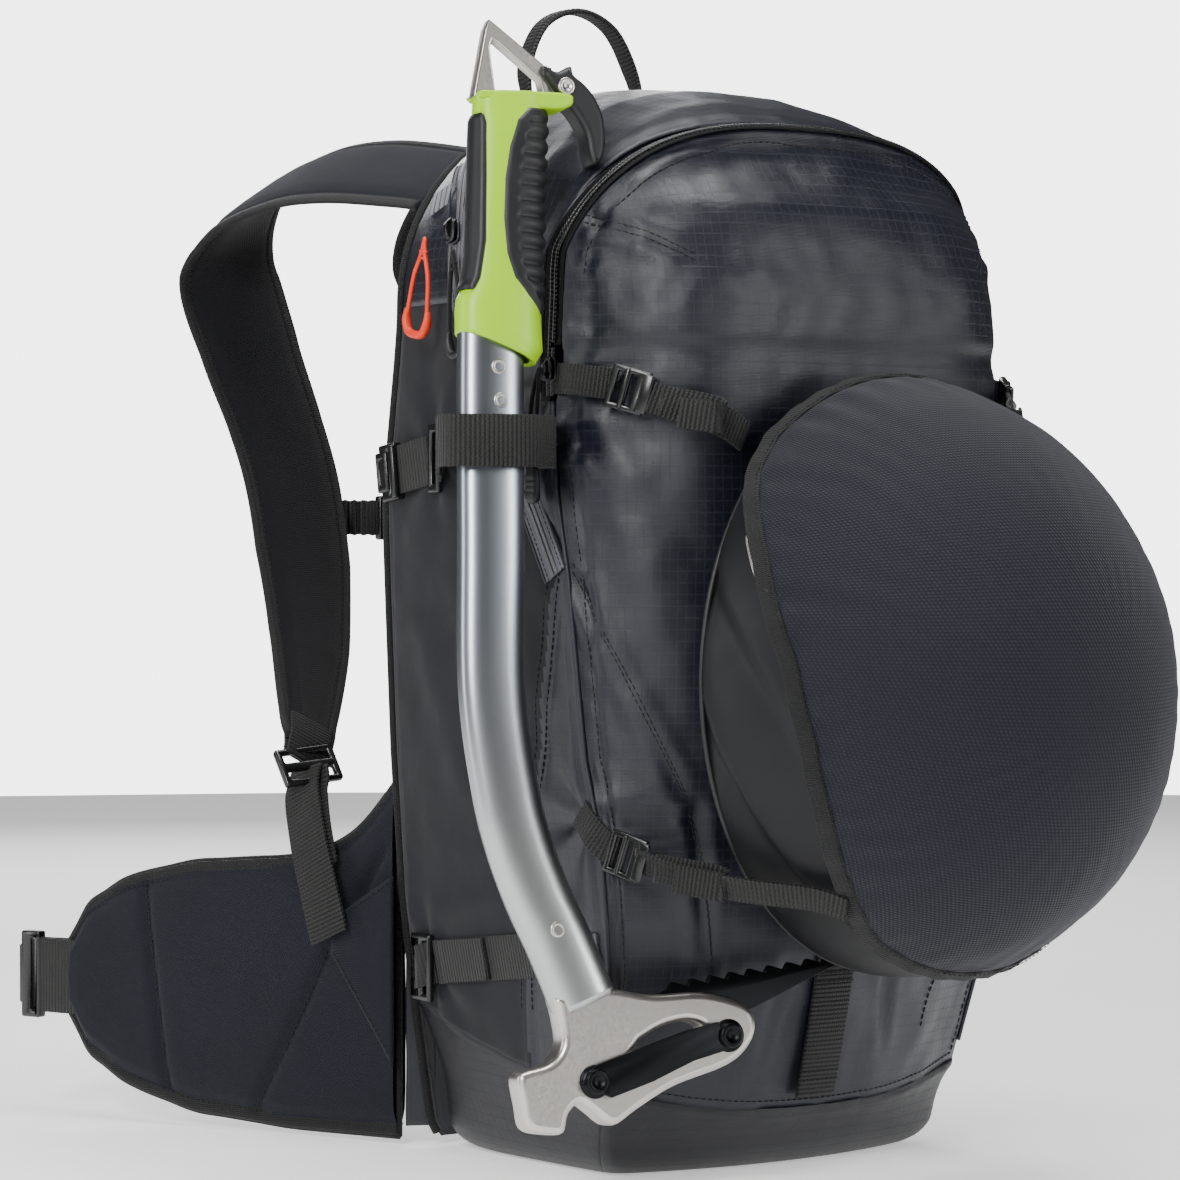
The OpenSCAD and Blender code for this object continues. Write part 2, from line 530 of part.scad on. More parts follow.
module hip_buckle(len) {
    translate(tip_at + wing_dir * (15 + len / 2)) rotate([0, 0, 20]) difference() {
        cube([7, len, 44], center = true);
        translate([0, 2 - len / 2 + 2, 0]) cube([9, 4, 38], center = true);
    }
}
module hip_buckle_plug() { color("#1c1d20") hip_buckle(11); }
module hip_buckle_socket() { color("#1c1d20") mirror([1, 0, 0]) hip_buckle(34); }
sternum_z = 302;
sternum_y = 250;
module sternum_web(a, b) {
    webbing([[a, sternum_y, sternum_z], [(a + b) / 2, sternum_y, sternum_z],
        [b, sternum_y, sternum_z]], [0, 0, 1], 18, 2);
}
module sternum_web_left() { color(black) sternum_web(-34.5, -15); }
module sternum_web_right() { color(black) sternum_web(34.5, 19); }
module sternum_buckle() {
    color("#1c1d20") translate([2, sternum_y, sternum_z]) {
        translate([-16.6, -3.5, -12]) cube([33.2, 7, 24]);
    }
}

// ---- the ice tool's own parts ---------------------------------------------
shaft_route = [[43, 0, 2], [31, 0, 25], [21, 0, 45], [12, 0, 68], [6, 0, 92], [0, 0, 136],
    [0, 0, 200], [0, 0, 260], [1, 0, 326]];
module tool_plate(t) { translate([0, t / 2, 0]) rotate([90, 0, 0]) linear_extrude(t) children(); }
module tool_shaft() {
    P = smooth(shaft_route, 3);
    last = len(P) - 1;
    inner = concat([2 * P[0] - P[1]], [for (i = [1:last - 1]) P[i]], [P[last] + [0, 0, 5]]);
    color("#8fa0ae") at_tool() difference() {
        sweep(P, [1, 0, 0], [shaft_w, shaft_t], round_section(14));
        sweep(inner, [1, 0, 0], [shaft_w - 2 * shaft_wall, shaft_t - 2 * shaft_wall], round_section(14));
        translate([0, -20, -16.4]) cube([90, 40, 20]);
    }
}
module tool_handle() {
    color("#b9dc3c") at_tool() difference() {
        tool_plate(24) polygon([[-16.8, 292], [4, 286], [17.7, 280.5], [24.6, 288], [24, 300.5],
            [14, 308], [7, 315.5], [2.7, 327.7], [1.5, 343], [2.2, 361], [4.6, 376], [8.8, 387.5],
            [14.4, 394.2], [37, 396.8], [35, 403.4], [-9, 400], [-13, 380], [-16.8, 330]]);
        sweep([[0, 0, 275], [1, 0, 326.5]], [1, 0, 0], [shaft_w + 0.6, shaft_t + 0.6],
            round_section(14));
    }
}
module tool_grip() {
    ribs = 12;
    color("#151617") at_tool() difference() {
        tool_plate(25) polygon(concat([[24.4, 302.2], [14.8, 309.6], [8, 316.9], [3.7, 328], [2.5, 343],
            [3.2, 361], [5.5, 375.6], [9.5, 386.8], [15, 393.4], [24.4, 394.6]],
            [for (k = [0:ribs - 1]) each [[27, 391 - k * 7.4], [24.4, 387.5 - k * 7.4]]]));
        sweep([[0, 0, 275], [1, 0, 327.2]], [1, 0, 0], [shaft_w + 1.6, shaft_t + 1.6],
            round_section(14));
    }
}
module tool_spike() {
    color("#b8b6b2") at_tool() tool_plate(8) difference() {
        polygon([[-8, 400.4], [35, 404.4], [30, 412], [4, 431], [-1, 434]]);
        polygon([[-2, 404], [21, 406], [20, 410], [2, 423]]);
    }
}
module tool_trigger() {
    color("#151617") at_tool() tool_plate(14) difference() {
        polygon([[38.5, 406], [45, 400], [45, 388], [43, 374], [49, 371], [56, 383], [54, 396], [47, 407],
            [40, 415], [34, 413]]);
        translate([39, 408.6]) circle(d = 3, $fn = 24);
    }
}
head_bolts = [[45, -36], [110, -16]];
module tool_head() {
    color("#b5b2ad") at_tool() tool_plate(14) difference() {
        polygon([[27, 0.6], [59, 2.6], [74, 0], [100, 0], [123, -5], [122, -18], [114, -26], [70, -43],
            [53, -53], [40, -44], [32, -48], [29, -58], [14, -56], [10, -33], [24, -27], [31, -17]]);
        polygon([[76, -14], [97, -9], [101, -17], [72, -33], [60, -33], [66, -22]]);
        for (p = head_bolts) translate(p) circle(d = 9, $fn = 32);
    }
}
module tool_pick() {
    teeth = 9;
    color("#1a1b1d") at_tool() tool_plate(pick_t) polygon(concat([[100, 0.4], [123.4, -4.4], [146, 6],
        [170, 17]], [for (k = [0:teeth - 1]) each [[162 - k * 9.6, 20 - k * 1.5], [160 - k * 9.6,
        16.4 - k * 1.5]]], [[76, 1]]));
}
module tool_spacer() {
    color("#151617") at_tool() translate([0, -7.2, 0]) rotate([90, 0, 0]) linear_extrude(2.4)
        difference() {
            polygon([[52, -43], [72, -36], [92, -27], [108, -22.5], [104, -10], [88, -14], [56, -25],
                [44, -29], [38, -37]]);
            for (p = head_bolts) translate(p) circle(d = 9, $fn = 32);
        }
}
module tool_bolts() {
    color("#26282b") at_tool() for (p = head_bolts)
        translate([p[0], 8.4, p[1]]) rotate([90, 0, 0]) cylinder(d = 8.9, h = 19, $fn = 32);
}

base_boot();
side_panel_left();
side_panel_right();
top_panel();
lower_front_panel();
back_panel();
back_pads();
frame_sheet();
frame_stay();
tool_divider();
side_zip();
side_zip_slider();
side_zip_pull_orange();
side_zip_pull_black();
grey_tabs();
front_flap();
main_zip_bag_half();
main_zip_flap_half();
main_zip_slider_left();
main_zip_pull_left();
main_zip_slider_right();
main_zip_puller_right();
haul_loop();
upper_tool_strap();
upper_strap_bar();
upper_strap_buckle();
lower_tool_strap();
lower_strap_ring();
helmet_shell();
helmet_liner();
helmet_net();
net_binding();
net_straps();
net_ladder_locks();
ski_strap();
shoulder_strap_left();
shoulder_strap_right();
strap_ring_left();
strap_ring_right();
adjuster_web_left();
adjuster_web_right();
adjuster_tabs();
hip_wing_left();
hip_wing_right();
hip_web_left();
hip_web_right();
hip_buckle_plug();
hip_buckle_socket();
sternum_web_left();
sternum_web_right();
sternum_buckle();
tool_shaft();
tool_handle();
tool_grip();
tool_spike();
tool_trigger();
tool_head();
tool_pick();
tool_spacer();
tool_bolts();
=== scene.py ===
import math

import bmesh
import bpy
import numpy as np
from mathutils import Matrix, Vector, noise


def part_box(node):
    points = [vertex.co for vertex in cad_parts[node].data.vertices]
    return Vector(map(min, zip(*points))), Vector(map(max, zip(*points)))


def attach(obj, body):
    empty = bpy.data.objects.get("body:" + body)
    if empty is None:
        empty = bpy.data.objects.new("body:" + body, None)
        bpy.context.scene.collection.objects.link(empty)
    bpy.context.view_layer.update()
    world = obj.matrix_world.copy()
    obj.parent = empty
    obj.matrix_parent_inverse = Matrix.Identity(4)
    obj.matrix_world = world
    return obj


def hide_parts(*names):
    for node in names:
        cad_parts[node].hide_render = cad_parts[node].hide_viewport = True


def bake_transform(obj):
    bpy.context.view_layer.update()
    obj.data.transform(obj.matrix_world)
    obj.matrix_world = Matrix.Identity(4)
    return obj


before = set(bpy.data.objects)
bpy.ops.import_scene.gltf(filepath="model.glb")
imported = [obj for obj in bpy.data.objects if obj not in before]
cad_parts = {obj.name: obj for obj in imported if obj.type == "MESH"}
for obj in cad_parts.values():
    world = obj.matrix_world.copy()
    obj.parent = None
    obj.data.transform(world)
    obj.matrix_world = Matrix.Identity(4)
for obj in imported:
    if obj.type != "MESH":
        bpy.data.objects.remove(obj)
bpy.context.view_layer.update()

MM = 0.001
X, Y, Z = np.eye(3)


# ---- small maths ----------------------------------------------------------
def arr(*v):
    return np.array(v, float)


def unit(v):
    v = np.asarray(v, float)
    return v / np.maximum(np.linalg.norm(v, axis=-1, keepdims=True), 1e-9)


def mix(a, b, t):
    return a + (b - a) * t


def smooth(points, n=6):
    """A smooth curve through points, n steps between each two."""
    P = np.asarray(points, float)
    out = []
    for i in range(len(P) - 1):
        a, b, c, d = P[max(i - 1, 0)], P[i], P[i + 1], P[min(i + 2, len(P) - 1)]
        for k in range(n):
            t = k / n
            out.append(0.5 * (2 * b + (c - a) * t + (2 * a - 5 * b + 4 * c - d) * t * t
                              + (3 * b - a - 3 * c + d) * t ** 3))
    return np.array(out + [P[-1]])


def arc_length(P):
    return np.concatenate([[0], np.cumsum(np.linalg.norm(np.diff(P, axis=0), axis=1))])


def resample(P, step, closed=False):
    """P again, as points a fixed step apart."""
    P = np.asarray(P, float)
    if closed:
        P = np.vstack([P, P[:1]])
    s = arc_length(P)
    n = max(2, int(round(s[-1] / step)) + 1)
    t = np.linspace(0, s[-1], n)
    out = np.stack([np.interp(t, s, P[:, k]) for k in range(P.shape[1])], 1)
    return out[:-1] if closed else out


def tangents(P, closed=False):
    if closed:
        return unit(np.roll(P, -1, 0) - np.roll(P, 1, 0))
    return unit(np.gradient(P, axis=0))


def noise3(P, size, seed=0.0):
    """Smooth noise from -1 to 1 at points P, with features about size mm across."""
    Q = np.asarray(P, float).reshape(-1, 3) / size + seed
    n = np.array([noise.noise(Vector(q)) for q in Q])
    return n.reshape(np.asarray(P).shape[:-1])


# ---- meshes ---------------------------------------------------------------
def new_object(name, data):
    ob = bpy.data.objects.new(name, data)
    bpy.context.scene.collection.objects.link(ob)
    return ob


def shade_smooth(me):
    me.polygons.foreach_set("use_smooth", [True] * len(me.polygons))


def add_mesh(name, verts, faces, uv=None, mats=(), face_mat=None):
    me = bpy.data.meshes.new(name)
    me.from_pydata((np.asarray(verts) * MM).tolist(), [], faces)
    if uv is not None:
        layer = me.uv_layers.new(name="UVMap")
        idx = np.empty(len(me.loops), np.int32)
        me.loops.foreach_get("vertex_index", idx)
        layer.data.foreach_set("uv", (np.asarray(uv)[idx] * MM).astype(np.float32).ravel())
    for m in mats:
        me.materials.append(m)
    if face_mat is not None:
        me.polygons.foreach_set("material_index", np.asarray(face_mat, np.int32))
    shade_smooth(me)
    me.validate()
    return new_object(name, me)


def declare(ob, body, slot, *nodes):
    """The piece rides on body and stands for the CAD nodes. slot is not used."""
    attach(ob, body)
    if nodes:
        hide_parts(*nodes)
    return ob


def grid_normals(P):
    """Outward normals of a grid whose rows go up and columns go right, seen from outside."""
    du = np.gradient(P, axis=1)
    dv = np.gradient(P, axis=0)
    return unit(np.cross(du, dv))


def grid_uv(P):
    u = np.zeros(P.shape[:2])
    v = np.zeros(P.shape[:2])
    mid_r, mid_c = P.shape[0] // 2, P.shape[1] // 2
    u[:, 1:] = np.cumsum(np.linalg.norm(np.diff(P, axis=1), axis=2), axis=1)
    u -= u[:, mid_c:mid_c + 1]
    v[1:, :] = np.cumsum(np.linalg.norm(np.diff(P, axis=0), axis=2), axis=0)
    v -= v[mid_r:mid_r + 1, :]
    return np.stack([u, v], -1)


def shell_mesh(name, P, thick, mats, N=None, uv=None, pick=None):
    """A cloth panel with thickness, from a grid of outer points."""
    r, c = P.shape[:2]
    N = grid_normals(P) if N is None else N
    uv = grid_uv(P) if uv is None else uv
    inner = P - N * thick
    o = r * c
    faces, fm = [], []
    for i in range(r - 1):
        for j in range(c - 1):
            a = i * c + j
            b, d, e = a + 1, a + c, a + c + 1
            faces.append((a, b, e, d))
            fm.append(0 if pick is None else int(pick[i, j]))
            faces.append((o + a, o + d, o + e, o + b))
            fm.append(len(mats) - 1)
    for j in range(c - 1):
        a, d = j, (r - 1) * c + j
        faces += [(a, o + a, o + a + 1, a + 1), (d, d + 1, o + d + 1, o + d)]
        fm += [0, 0]
    for i in range(r - 1):
        a, b = i * c, i * c + c - 1
        faces += [(a, a + c, o + a + c, o + a), (b, o + b, o + b + c, b + c)]
        fm += [0, 0]
    verts = np.vstack([P.reshape(-1, 3), inner.reshape(-1, 3)])
    uvs = np.vstack([uv.reshape(-1, 2)] * 2)
    return add_mesh(name, verts, faces, uvs, mats, fm)


def section_rect(w, t, r=0.35, n=3):
    """A flat section w by t with rounded edges, anticlockwise."""
    r = min(r, t / 2 - 0.01)
    pts = []
    for cx, cy, a0 in ((w / 2 - r, -t / 2 + r, -90), (w / 2 - r, t / 2 - r, 0),
                       (-w / 2 + r, t / 2 - r, 90), (-w / 2 + r, -t / 2 + r, 180)):
        for k in range(n):
            a = math.radians(a0 + 90 * k / (n - 1))
            pts.append((cx + r * math.cos(a), cy + r * math.sin(a)))
    return np.array(pts)


def section_round(d, n=10, flat=1.0):
    a = np.arange(n) * 2 * math.pi / n
    return np.stack([d / 2 * np.cos(a), d / 2 * flat * np.sin(a)], 1)


def round_rect(w, t, n=36, power=3.0):
    """A section w by t that is rounder the lower its power."""
    a = np.arange(n) * 2 * math.pi / n
    return np.stack([np.sign(np.cos(a)) * np.abs(np.cos(a)) ** (2 / power) * w / 2,
                     np.sign(np.sin(a)) * np.abs(np.sin(a)) ** (2 / power) * t / 2], 1)


def sweep(name, P, W, sec, mats, closed=False, scale=None, face_mat=None, caps=True):
    """A section swept along P, its width along W. sec is one section or one for each point."""
    P = np.asarray(P, float)
    T = tangents(P, closed)
    W = np.broadcast_to(np.asarray(W, float), P.shape)
    nrm = unit(np.cross(T, W))
    wid = np.cross(nrm, T)
    S = np.asarray(sec, float)
    if S.ndim == 2:
        S = np.broadcast_to(S, (len(P),) + S.shape)
    if scale is not None:
        S = S * np.asarray(scale, float).reshape(len(P), 1, -1)
    V = P[:, None] + S[..., :1] * wid[:, None] + S[..., 1:2] * nrm[:, None]
    m, n = V.shape[:2]
    s = arc_length(P)
    ring = np.concatenate([[0], np.cumsum(np.linalg.norm(np.diff(S[0], axis=0), axis=1))])
    uv = np.stack(np.broadcast_arrays(ring[None, :], s[:, None]), -1)
    faces, fm = [], []
    for i in range(m if closed else m - 1):
        for j in range(n):
            a, b = i * n + j, i * n + (j + 1) % n
            k = (i + 1) % m
            c, d = k * n + (j + 1) % n, k * n + j
            faces.append((a, b, c, d))
            fm.append(0 if face_mat is None else face_mat[j])
    if caps and not closed:
        faces += [tuple(range(n - 1, -1, -1)), tuple((m - 1) * n + j for j in range(n))]
        fm += [0, 0]
    return add_mesh(name, V.reshape(-1, 3), faces, uv.reshape(-1, 2), mats, fm)


def follow(P, Q, W):
    """The values W at points P, at points Q of the same line."""
    if np.ndim(W) < 2:
        return W
    s, q = arc_length(np.asarray(P, float)), arc_length(Q)
    return np.stack([np.interp(q / q[-1], s / s[-1], np.asarray(W)[:, k]) for k in range(3)], 1)


def webbing(name, P, W, w, mat, t=1.8, step=2.5, sway=0.25, seed=0.0):
    """A strap of woven webbing, a little uneven along its length."""
    Q = resample(P, step)
    W = follow(P, Q, W)
    k = 1 + 0.012 * noise3(Q, 15, seed)
    drift = noise3(Q, 22, seed + 3)[:, None] * sway * unit(np.cross(tangents(Q), W))
    return sweep(name, Q + drift, W, section_rect(w, t), [mat], scale=np.stack([k, np.ones(len(k))], 1))


def stitches(name, P, mat, pitch=3.2, long=2.3, d=0.55, closed=False):
    """A row of thread stitches along P."""
    Q = resample(P, pitch, closed)
    T = tangents(Q, closed)
    A = unit(np.cross(T, arr(0.3, 0.5, 0.8)))
    B = np.cross(T, A)
    rings = ((-0.5, 0.35), (-0.3, 1.0), (0.3, 1.0), (0.5, 0.35))
    verts, faces = [], []
    for q, t, a, b in zip(Q, T, A, B):
        base = len(verts)
        for f, r in rings:
            for k in range(6):
                w = k * math.pi / 3
                verts.append(q + t * long * f + d / 2 * r * (a * math.cos(w) + b * math.sin(w)))
        for i in range(3):
            for k in range(6):
                m = base + i * 6
                faces.append((m + k, m + (k + 1) % 6, m + 6 + (k + 1) % 6, m + 6 + k))
        faces += [tuple(base + k for k in range(5, -1, -1)), tuple(base + 18 + k for k in range(6))]
    return add_mesh(name, verts, faces, None, [mat])


def beads(name, P, mat, pitch=1.5, d=3.2, flat=0.55, W=X):
    """A zip's coil: a tube that swells at each tooth."""
    Q = resample(P, pitch / 4)
    k = 1 - 0.22 * (0.5 + 0.5 * np.cos(np.arange(len(Q)) * math.pi / 2))
    return sweep(name, Q, follow(P, Q, W), section_round(d, 8, flat), [mat], scale=np.stack([k, k], 1))


def detail_copy(node, name, mat, width, segments=3):
    """A finer piece made from a CAD node's own mesh, with its edges rounded."""
    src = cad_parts[node]
    me = src.data.copy()
    me.materials.clear()
    me.materials.append(mat)
    bm = bmesh.new()
    bm.from_mesh(me)
    bmesh.ops.remove_doubles(bm, verts=bm.verts, dist=1e-5)
    bmesh.ops.dissolve_limit(bm, angle_limit=math.radians(1.5), verts=bm.verts, edges=bm.edges)
    bm.to_mesh(me)
    bm.free()
    ob = new_object(name, me)
    round_edges(ob, width, segments, 28, 35)
    return ob


def round_edges(ob, width, segments, from_angle, sharp_angle):
    """Bevels every edge sharper than from_angle, in degrees."""
    mod = ob.modifiers.new("bevel", "BEVEL")
    mod.width = width * MM
    mod.segments = segments
    mod.limit_method = "ANGLE"
    mod.angle_limit = math.radians(from_angle)
    bake_modifiers(ob)
    shade_smooth(ob.data)
    sharp_by_angle(ob, sharp_angle)


def bake_modifiers(ob):
    dg = bpy.context.evaluated_depsgraph_get()
    me = bpy.data.meshes.new_from_object(ob.evaluated_get(dg))
    old = ob.data
    ob.modifiers.clear()
    ob.data = me
    bpy.data.meshes.remove(old)


def sharp_by_angle(ob, degrees):
    bm = bmesh.new()
    bm.from_mesh(ob.data)
    limit = math.radians(degrees)
    for e in bm.edges:
        e.smooth = len(e.link_faces) != 2 or e.calc_face_angle(0) < limit
    bm.to_mesh(ob.data)
    bm.free()


def join(name, obs):
    """One mesh object from several, keeping their materials."""
    mats, verts, faces, fm, uvs = [], [], [], [], []
    any_uv = any(o.data.uv_layers for o in obs)
    for o in obs:
        base = len(verts)
        verts += [v.co[:] for v in o.data.vertices]
        slots = []
        for m in o.data.materials:
            if m not in mats:
                mats.append(m)
            slots.append(mats.index(m))
        layer = o.data.uv_layers.active
        for p in o.data.polygons:
            faces.append(tuple(base + v for v in p.vertices))
            fm.append(slots[p.material_index] if slots else 0)
            for li in p.loop_indices:
                uvs.append(layer.data[li].uv[:] if layer else (0, 0))
    me = bpy.data.meshes.new(name)
    me.from_pydata(verts, [], faces)
    for m in mats:
        me.materials.append(m)
    me.polygons.foreach_set("material_index", fm)
    shade_smooth(me)
    if any_uv:
        layer = me.uv_layers.new(name="UVMap")
        layer.data.foreach_set("uv", np.array(uvs, np.float32).ravel())
    for o in obs:
        old = o.data
        bpy.data.objects.remove(o)
        bpy.data.meshes.remove(old)
    return new_object(name, me)


# ---- materials ------------------------------------------------------------
class Expr:
    """A node socket that sums and products can be written with."""

    def __init__(self, nt, s):
        self.nt, self.s = nt, s

    def op(self, kind, *others):
        n = self.nt.nodes.new("ShaderNodeMath")
        n.operation = kind
        for i, v in enumerate((self,) + others):
            if isinstance(v, Expr):
                self.nt.links.new(v.s, n.inputs[i])
            else:
                n.inputs[i].default_value = v
        return Expr(self.nt, n.outputs[0])

    def __add__(self, o):
        return self.op("ADD", o)

    def __sub__(self, o):
        return self.op("SUBTRACT", o)

    def __mul__(self, o):
        return self.op("MULTIPLY", o)

    def sin(self):
        return self.op("SINE")

    def abs(self):
        return self.op("ABSOLUTE")

    def pow(self, k):
        return self.op("POWER", k)

    def frac(self):
        return self.op("FRACT")

    def max(self, o):
        return self.op("MAXIMUM", o)

    def min(self, o):
        return self.op("MINIMUM", o)

    def clamp(self):
        return self.max(0.0).min(1.0)


class Surface:
    """A Principled material with helpers for weave, noise and bump."""

    def __init__(self, name, colour, rough=0.5, metallic=0.0, sheen=0.0, coat=0.0, spec=0.5):
        self.mat = bpy.data.materials.new(name)
        self.mat.use_nodes = True
        self.nt = self.mat.node_tree
        self.bsdf = self.nt.nodes["Principled BSDF"]
        b = self.bsdf.inputs
        self.colour = tuple(colour) + (1.0,)
        b["Base Color"].default_value = self.colour
        b["Roughness"].default_value = rough
        b["Metallic"].default_value = metallic
        b["Specular IOR Level"].default_value = spec
        b["Sheen Weight"].default_value = sheen
        b["Sheen Roughness"].default_value = 0.45
        b["Coat Weight"].default_value = coat
        b["Coat Roughness"].default_value = 0.25
        self.mat.diffuse_color = self.colour
        self._uv = None

    def uv(self):
        """Distance across and along the piece, in mm."""
        if self._uv is None:
            uv = self.nt.nodes.new("ShaderNodeUVMap")
            sep = self.nt.nodes.new("ShaderNodeSeparateXYZ")
            self.nt.links.new(uv.outputs[0], sep.inputs[0])
            self._uv = (Expr(self.nt, sep.outputs[0]) * 1000.0, Expr(self.nt, sep.outputs[1]) * 1000.0)
        return self._uv

    def xyz(self):
        """Place in the object, in mm."""
        co = self.nt.nodes.new("ShaderNodeTexCoord")
        sep = self.nt.nodes.new("ShaderNodeSeparateXYZ")
        self.nt.links.new(co.outputs["Object"], sep.inputs[0])
        return [Expr(self.nt, sep.outputs[k]) * 1000.0 for k in range(3)]

    def noise(self, size, detail=3.0, rough=0.55, stretch=(1, 1, 1)):
        co = self.nt.nodes.new("ShaderNodeTexCoord")
        mp = self.nt.nodes.new("ShaderNodeMapping")
        mp.inputs["Scale"].default_value = [1000.0 / size * k for k in stretch]
        n = self.nt.nodes.new("ShaderNodeTexNoise")
        n.inputs["Scale"].default_value = 1.0
        n.inputs["Detail"].default_value = detail
        n.inputs["Roughness"].default_value = rough
        self.nt.links.new(co.outputs["Object"], mp.inputs[0])
        self.nt.links.new(mp.outputs[0], n.inputs["Vector"])
        return Expr(self.nt, n.outputs["Fac"])

    def tint(self, fac, other):
        """The base colour moves towards other as fac goes from 0 to 1."""
        m = self.nt.nodes.new("ShaderNodeMix")
        m.data_type = "RGBA"
        self.nt.links.new(fac.clamp().s, m.inputs["Factor"])
        b = self.bsdf.inputs["Base Color"]
        if b.links:
            self.nt.links.new(b.links[0].from_socket, m.inputs["A"])
        else:
            m.inputs["A"].default_value = self.colour
        m.inputs["B"].default_value = tuple(other) + (1.0,)
        self.nt.links.new(m.outputs["Result"], b)
        return self

    def rough(self, value):
        self.nt.links.new(value.clamp().s, self.bsdf.inputs["Roughness"])
        return self

    def bump(self, height, mm, strength=1.0):
        """Relief of height times mm."""
        b = self.nt.nodes.new("ShaderNodeBump")
        b.inputs["Distance"].default_value = mm * MM
        b.inputs["Strength"].default_value = strength
        self.nt.links.new(height.s, b.inputs["Height"])
        n = self.bsdf.inputs["Normal"]
        if n.links:
            self.nt.links.new(n.links[0].from_socket, b.inputs["Normal"])
        self.nt.links.new(b.outputs[0], n)
        return self


def wave(x, pitch):
    """0 to 1 and back over each pitch."""
    return (x * (math.pi / pitch)).sin().abs()


def bars(x, pitch, width):
    """1 on lines of width, one each pitch, and 0 between them."""
    return ((x * (1.0 / pitch)).frac() - 0.5).abs().op("GREATER_THAN", 0.5 - width / pitch / 2)


def coated_ripstop(name, colour, light, rough):
    s = Surface(name, colour, rough, coat=0.06, spec=0.42)
    u, v = s.uv()
    grid = bars(u, 5.2, 0.62).max(bars(v, 5.2, 0.62))
    fine = wave(u, 0.62) * wave(v, 0.62)
    # Painted highlight: the raised grid lines and thread crowns are tinted lighter, towards light, on a
    # cloth of one dye.
    s.tint(grid * 0.75 + fine * 0.3 - 0.05, light)
    s.tint(s.noise(160, 2.0) * 0.7 - 0.2, [c * 1.35 for c in colour])
    s.rough(s.noise(28, 4.0) * 0.16 + grid * 0.1 + (rough - 0.1))
    s.bump(s.noise(14, 3.0), 0.5, 0.5)
    s.bump(grid + fine * 0.45, 0.13, 0.9)
    return s.mat


def woven(name, colour, light, rough=0.8, pitch=0.9, sheen=0.35, depth=0.16):
    s = Surface(name, colour, rough, sheen=sheen, spec=0.22)
    u, v = s.uv()
    thread = wave(u + v * 0.5, pitch) * wave(v - u * 0.25, pitch)
    # Painted highlight: the raised thread crowns are tinted lighter, towards light, and the hollows between
    # them stay dark as painted shade.
    s.tint(thread * 0.8 - 0.1, light)
    s.tint(s.noise(60, 3.0) * 0.7 - 0.25, [c * 0.6 for c in colour])
    s.bump(s.noise(9, 3.0), 0.5, 0.6)
    s.bump(thread, depth, 0.9)
    return s.mat


def ribbed_webbing(name, colour, light, rough=0.62, pitch=1.5, stripe=None):
    s = Surface(name, colour, rough, sheen=0.06, spec=0.3)
    u, v = s.uv()
    ribs = wave(v + (wave(u, 2.4) * 0.3), pitch)
    # Painted highlight: the rib crests are tinted lighter, towards light, and the grooves stay dark as
    # painted shade. The stripe below is the webbing's own colour.
    s.tint((ribs * 1.3 - 0.45) * (wave(u, 1.3) * 0.5 + 0.5), light)
    if stripe:
        s.tint(bars(v, 4.0, 1.3) * 0.85, stripe)
    s.tint(s.noise(12, 3.0) * 0.8 - 0.3, [c * 0.6 for c in colour])
    s.bump(wave(u, 1.3), 0.15, 0.7)
    s.bump(ribs, 0.5, 1.0)
    return s.mat


def moulded(name, colour, rough=0.42, grain=0.04, spec=0.5, light=None):
    s = Surface(name, colour, rough, spec=spec)
    s.tint(s.noise(30, 4.0) * 0.8 - 0.3, light or [c * 1.4 + 0.004 for c in colour])
    s.rough(s.noise(12, 4.0) * 0.2 + (rough - 0.1))
    s.bump(s.noise(0.7, 2.0), grain, 0.8)
    return s.mat


def metal(name, colour, rough=0.32, brush=(1, 1, 12), grain=0.02):
    s = Surface(name, colour, rough, metallic=1.0)
    s.tint(s.noise(25, 4.0) * 0.7 - 0.2, [min(1, c * 1.15) for c in colour])
    fine = s.noise(1.2, 3.0, stretch=brush)
    s.rough(fine * 0.22 + (rough - 0.1))
    s.bump(fine, grain, 0.8)
    return s.mat


def net_cloth(name, colour, light):
    """Fine knitted mesh: round holes in staggered rows."""
    s = Surface(name, colour, 0.74, sheen=0.1, spec=0.22)
    u, v = s.uv()
    hole = (wave(u + v * 0.5, 2.1) * wave(v, 1.55)).pow(1.6)
    s.tint(hole * 1.25 - 0.2, light)
    s.tint(s.noise(45, 3.0) * 0.6 - 0.2, [c * 1.5 for c in colour])
    s.bump(s.noise(7, 3.0), 0.3, 0.5)
    s.bump(hole, 0.3, 0.9)
    return s.mat


# The second colour of each coated_ripstop, woven and ribbed_webbing material is the painted highlight
# colour of its raised threads, grid lines or ribs.
navy = coated_ripstop("coated_ripstop_navy", (0.0055, 0.0060, 0.0115), (0.014, 0.0152, 0.025), 0.37)
rear_cloth = woven("rear_panel_cloth", (0.0060, 0.0062, 0.0085), (0.013, 0.0135, 0.018), 0.62, 0.7, 0.08,
                   0.1)
boot_cloth = coated_ripstop("boot_cloth", (0.0080, 0.0082, 0.0105), (0.011, 0.0112, 0.014), 0.46)
inside = woven("inside_cloth", (0.03, 0.031, 0.035), (0.05, 0.05, 0.056), 0.8)
harness = woven("harness_cloth", (0.0065, 0.0070, 0.0115), (0.015, 0.0165, 0.026), 0.88, 1.1, 0.05, 0.2)
lining = woven("harness_lining", (0.0035, 0.0035, 0.0048), (0.009, 0.009, 0.011), 0.9, 1.3, 0.1, 0.25)
pad_cloth = net_cloth("back_pad_mesh", (0.007, 0.007, 0.008), (0.018, 0.018, 0.021))
binding = ribbed_webbing("edge_binding", (0.0035, 0.0035, 0.004), (0.011, 0.011, 0.012), 0.7, 1.0)
web_black = ribbed_webbing("black_webbing", (0.0018, 0.0019, 0.0018), (0.022, 0.0225, 0.021), pitch=2.1)
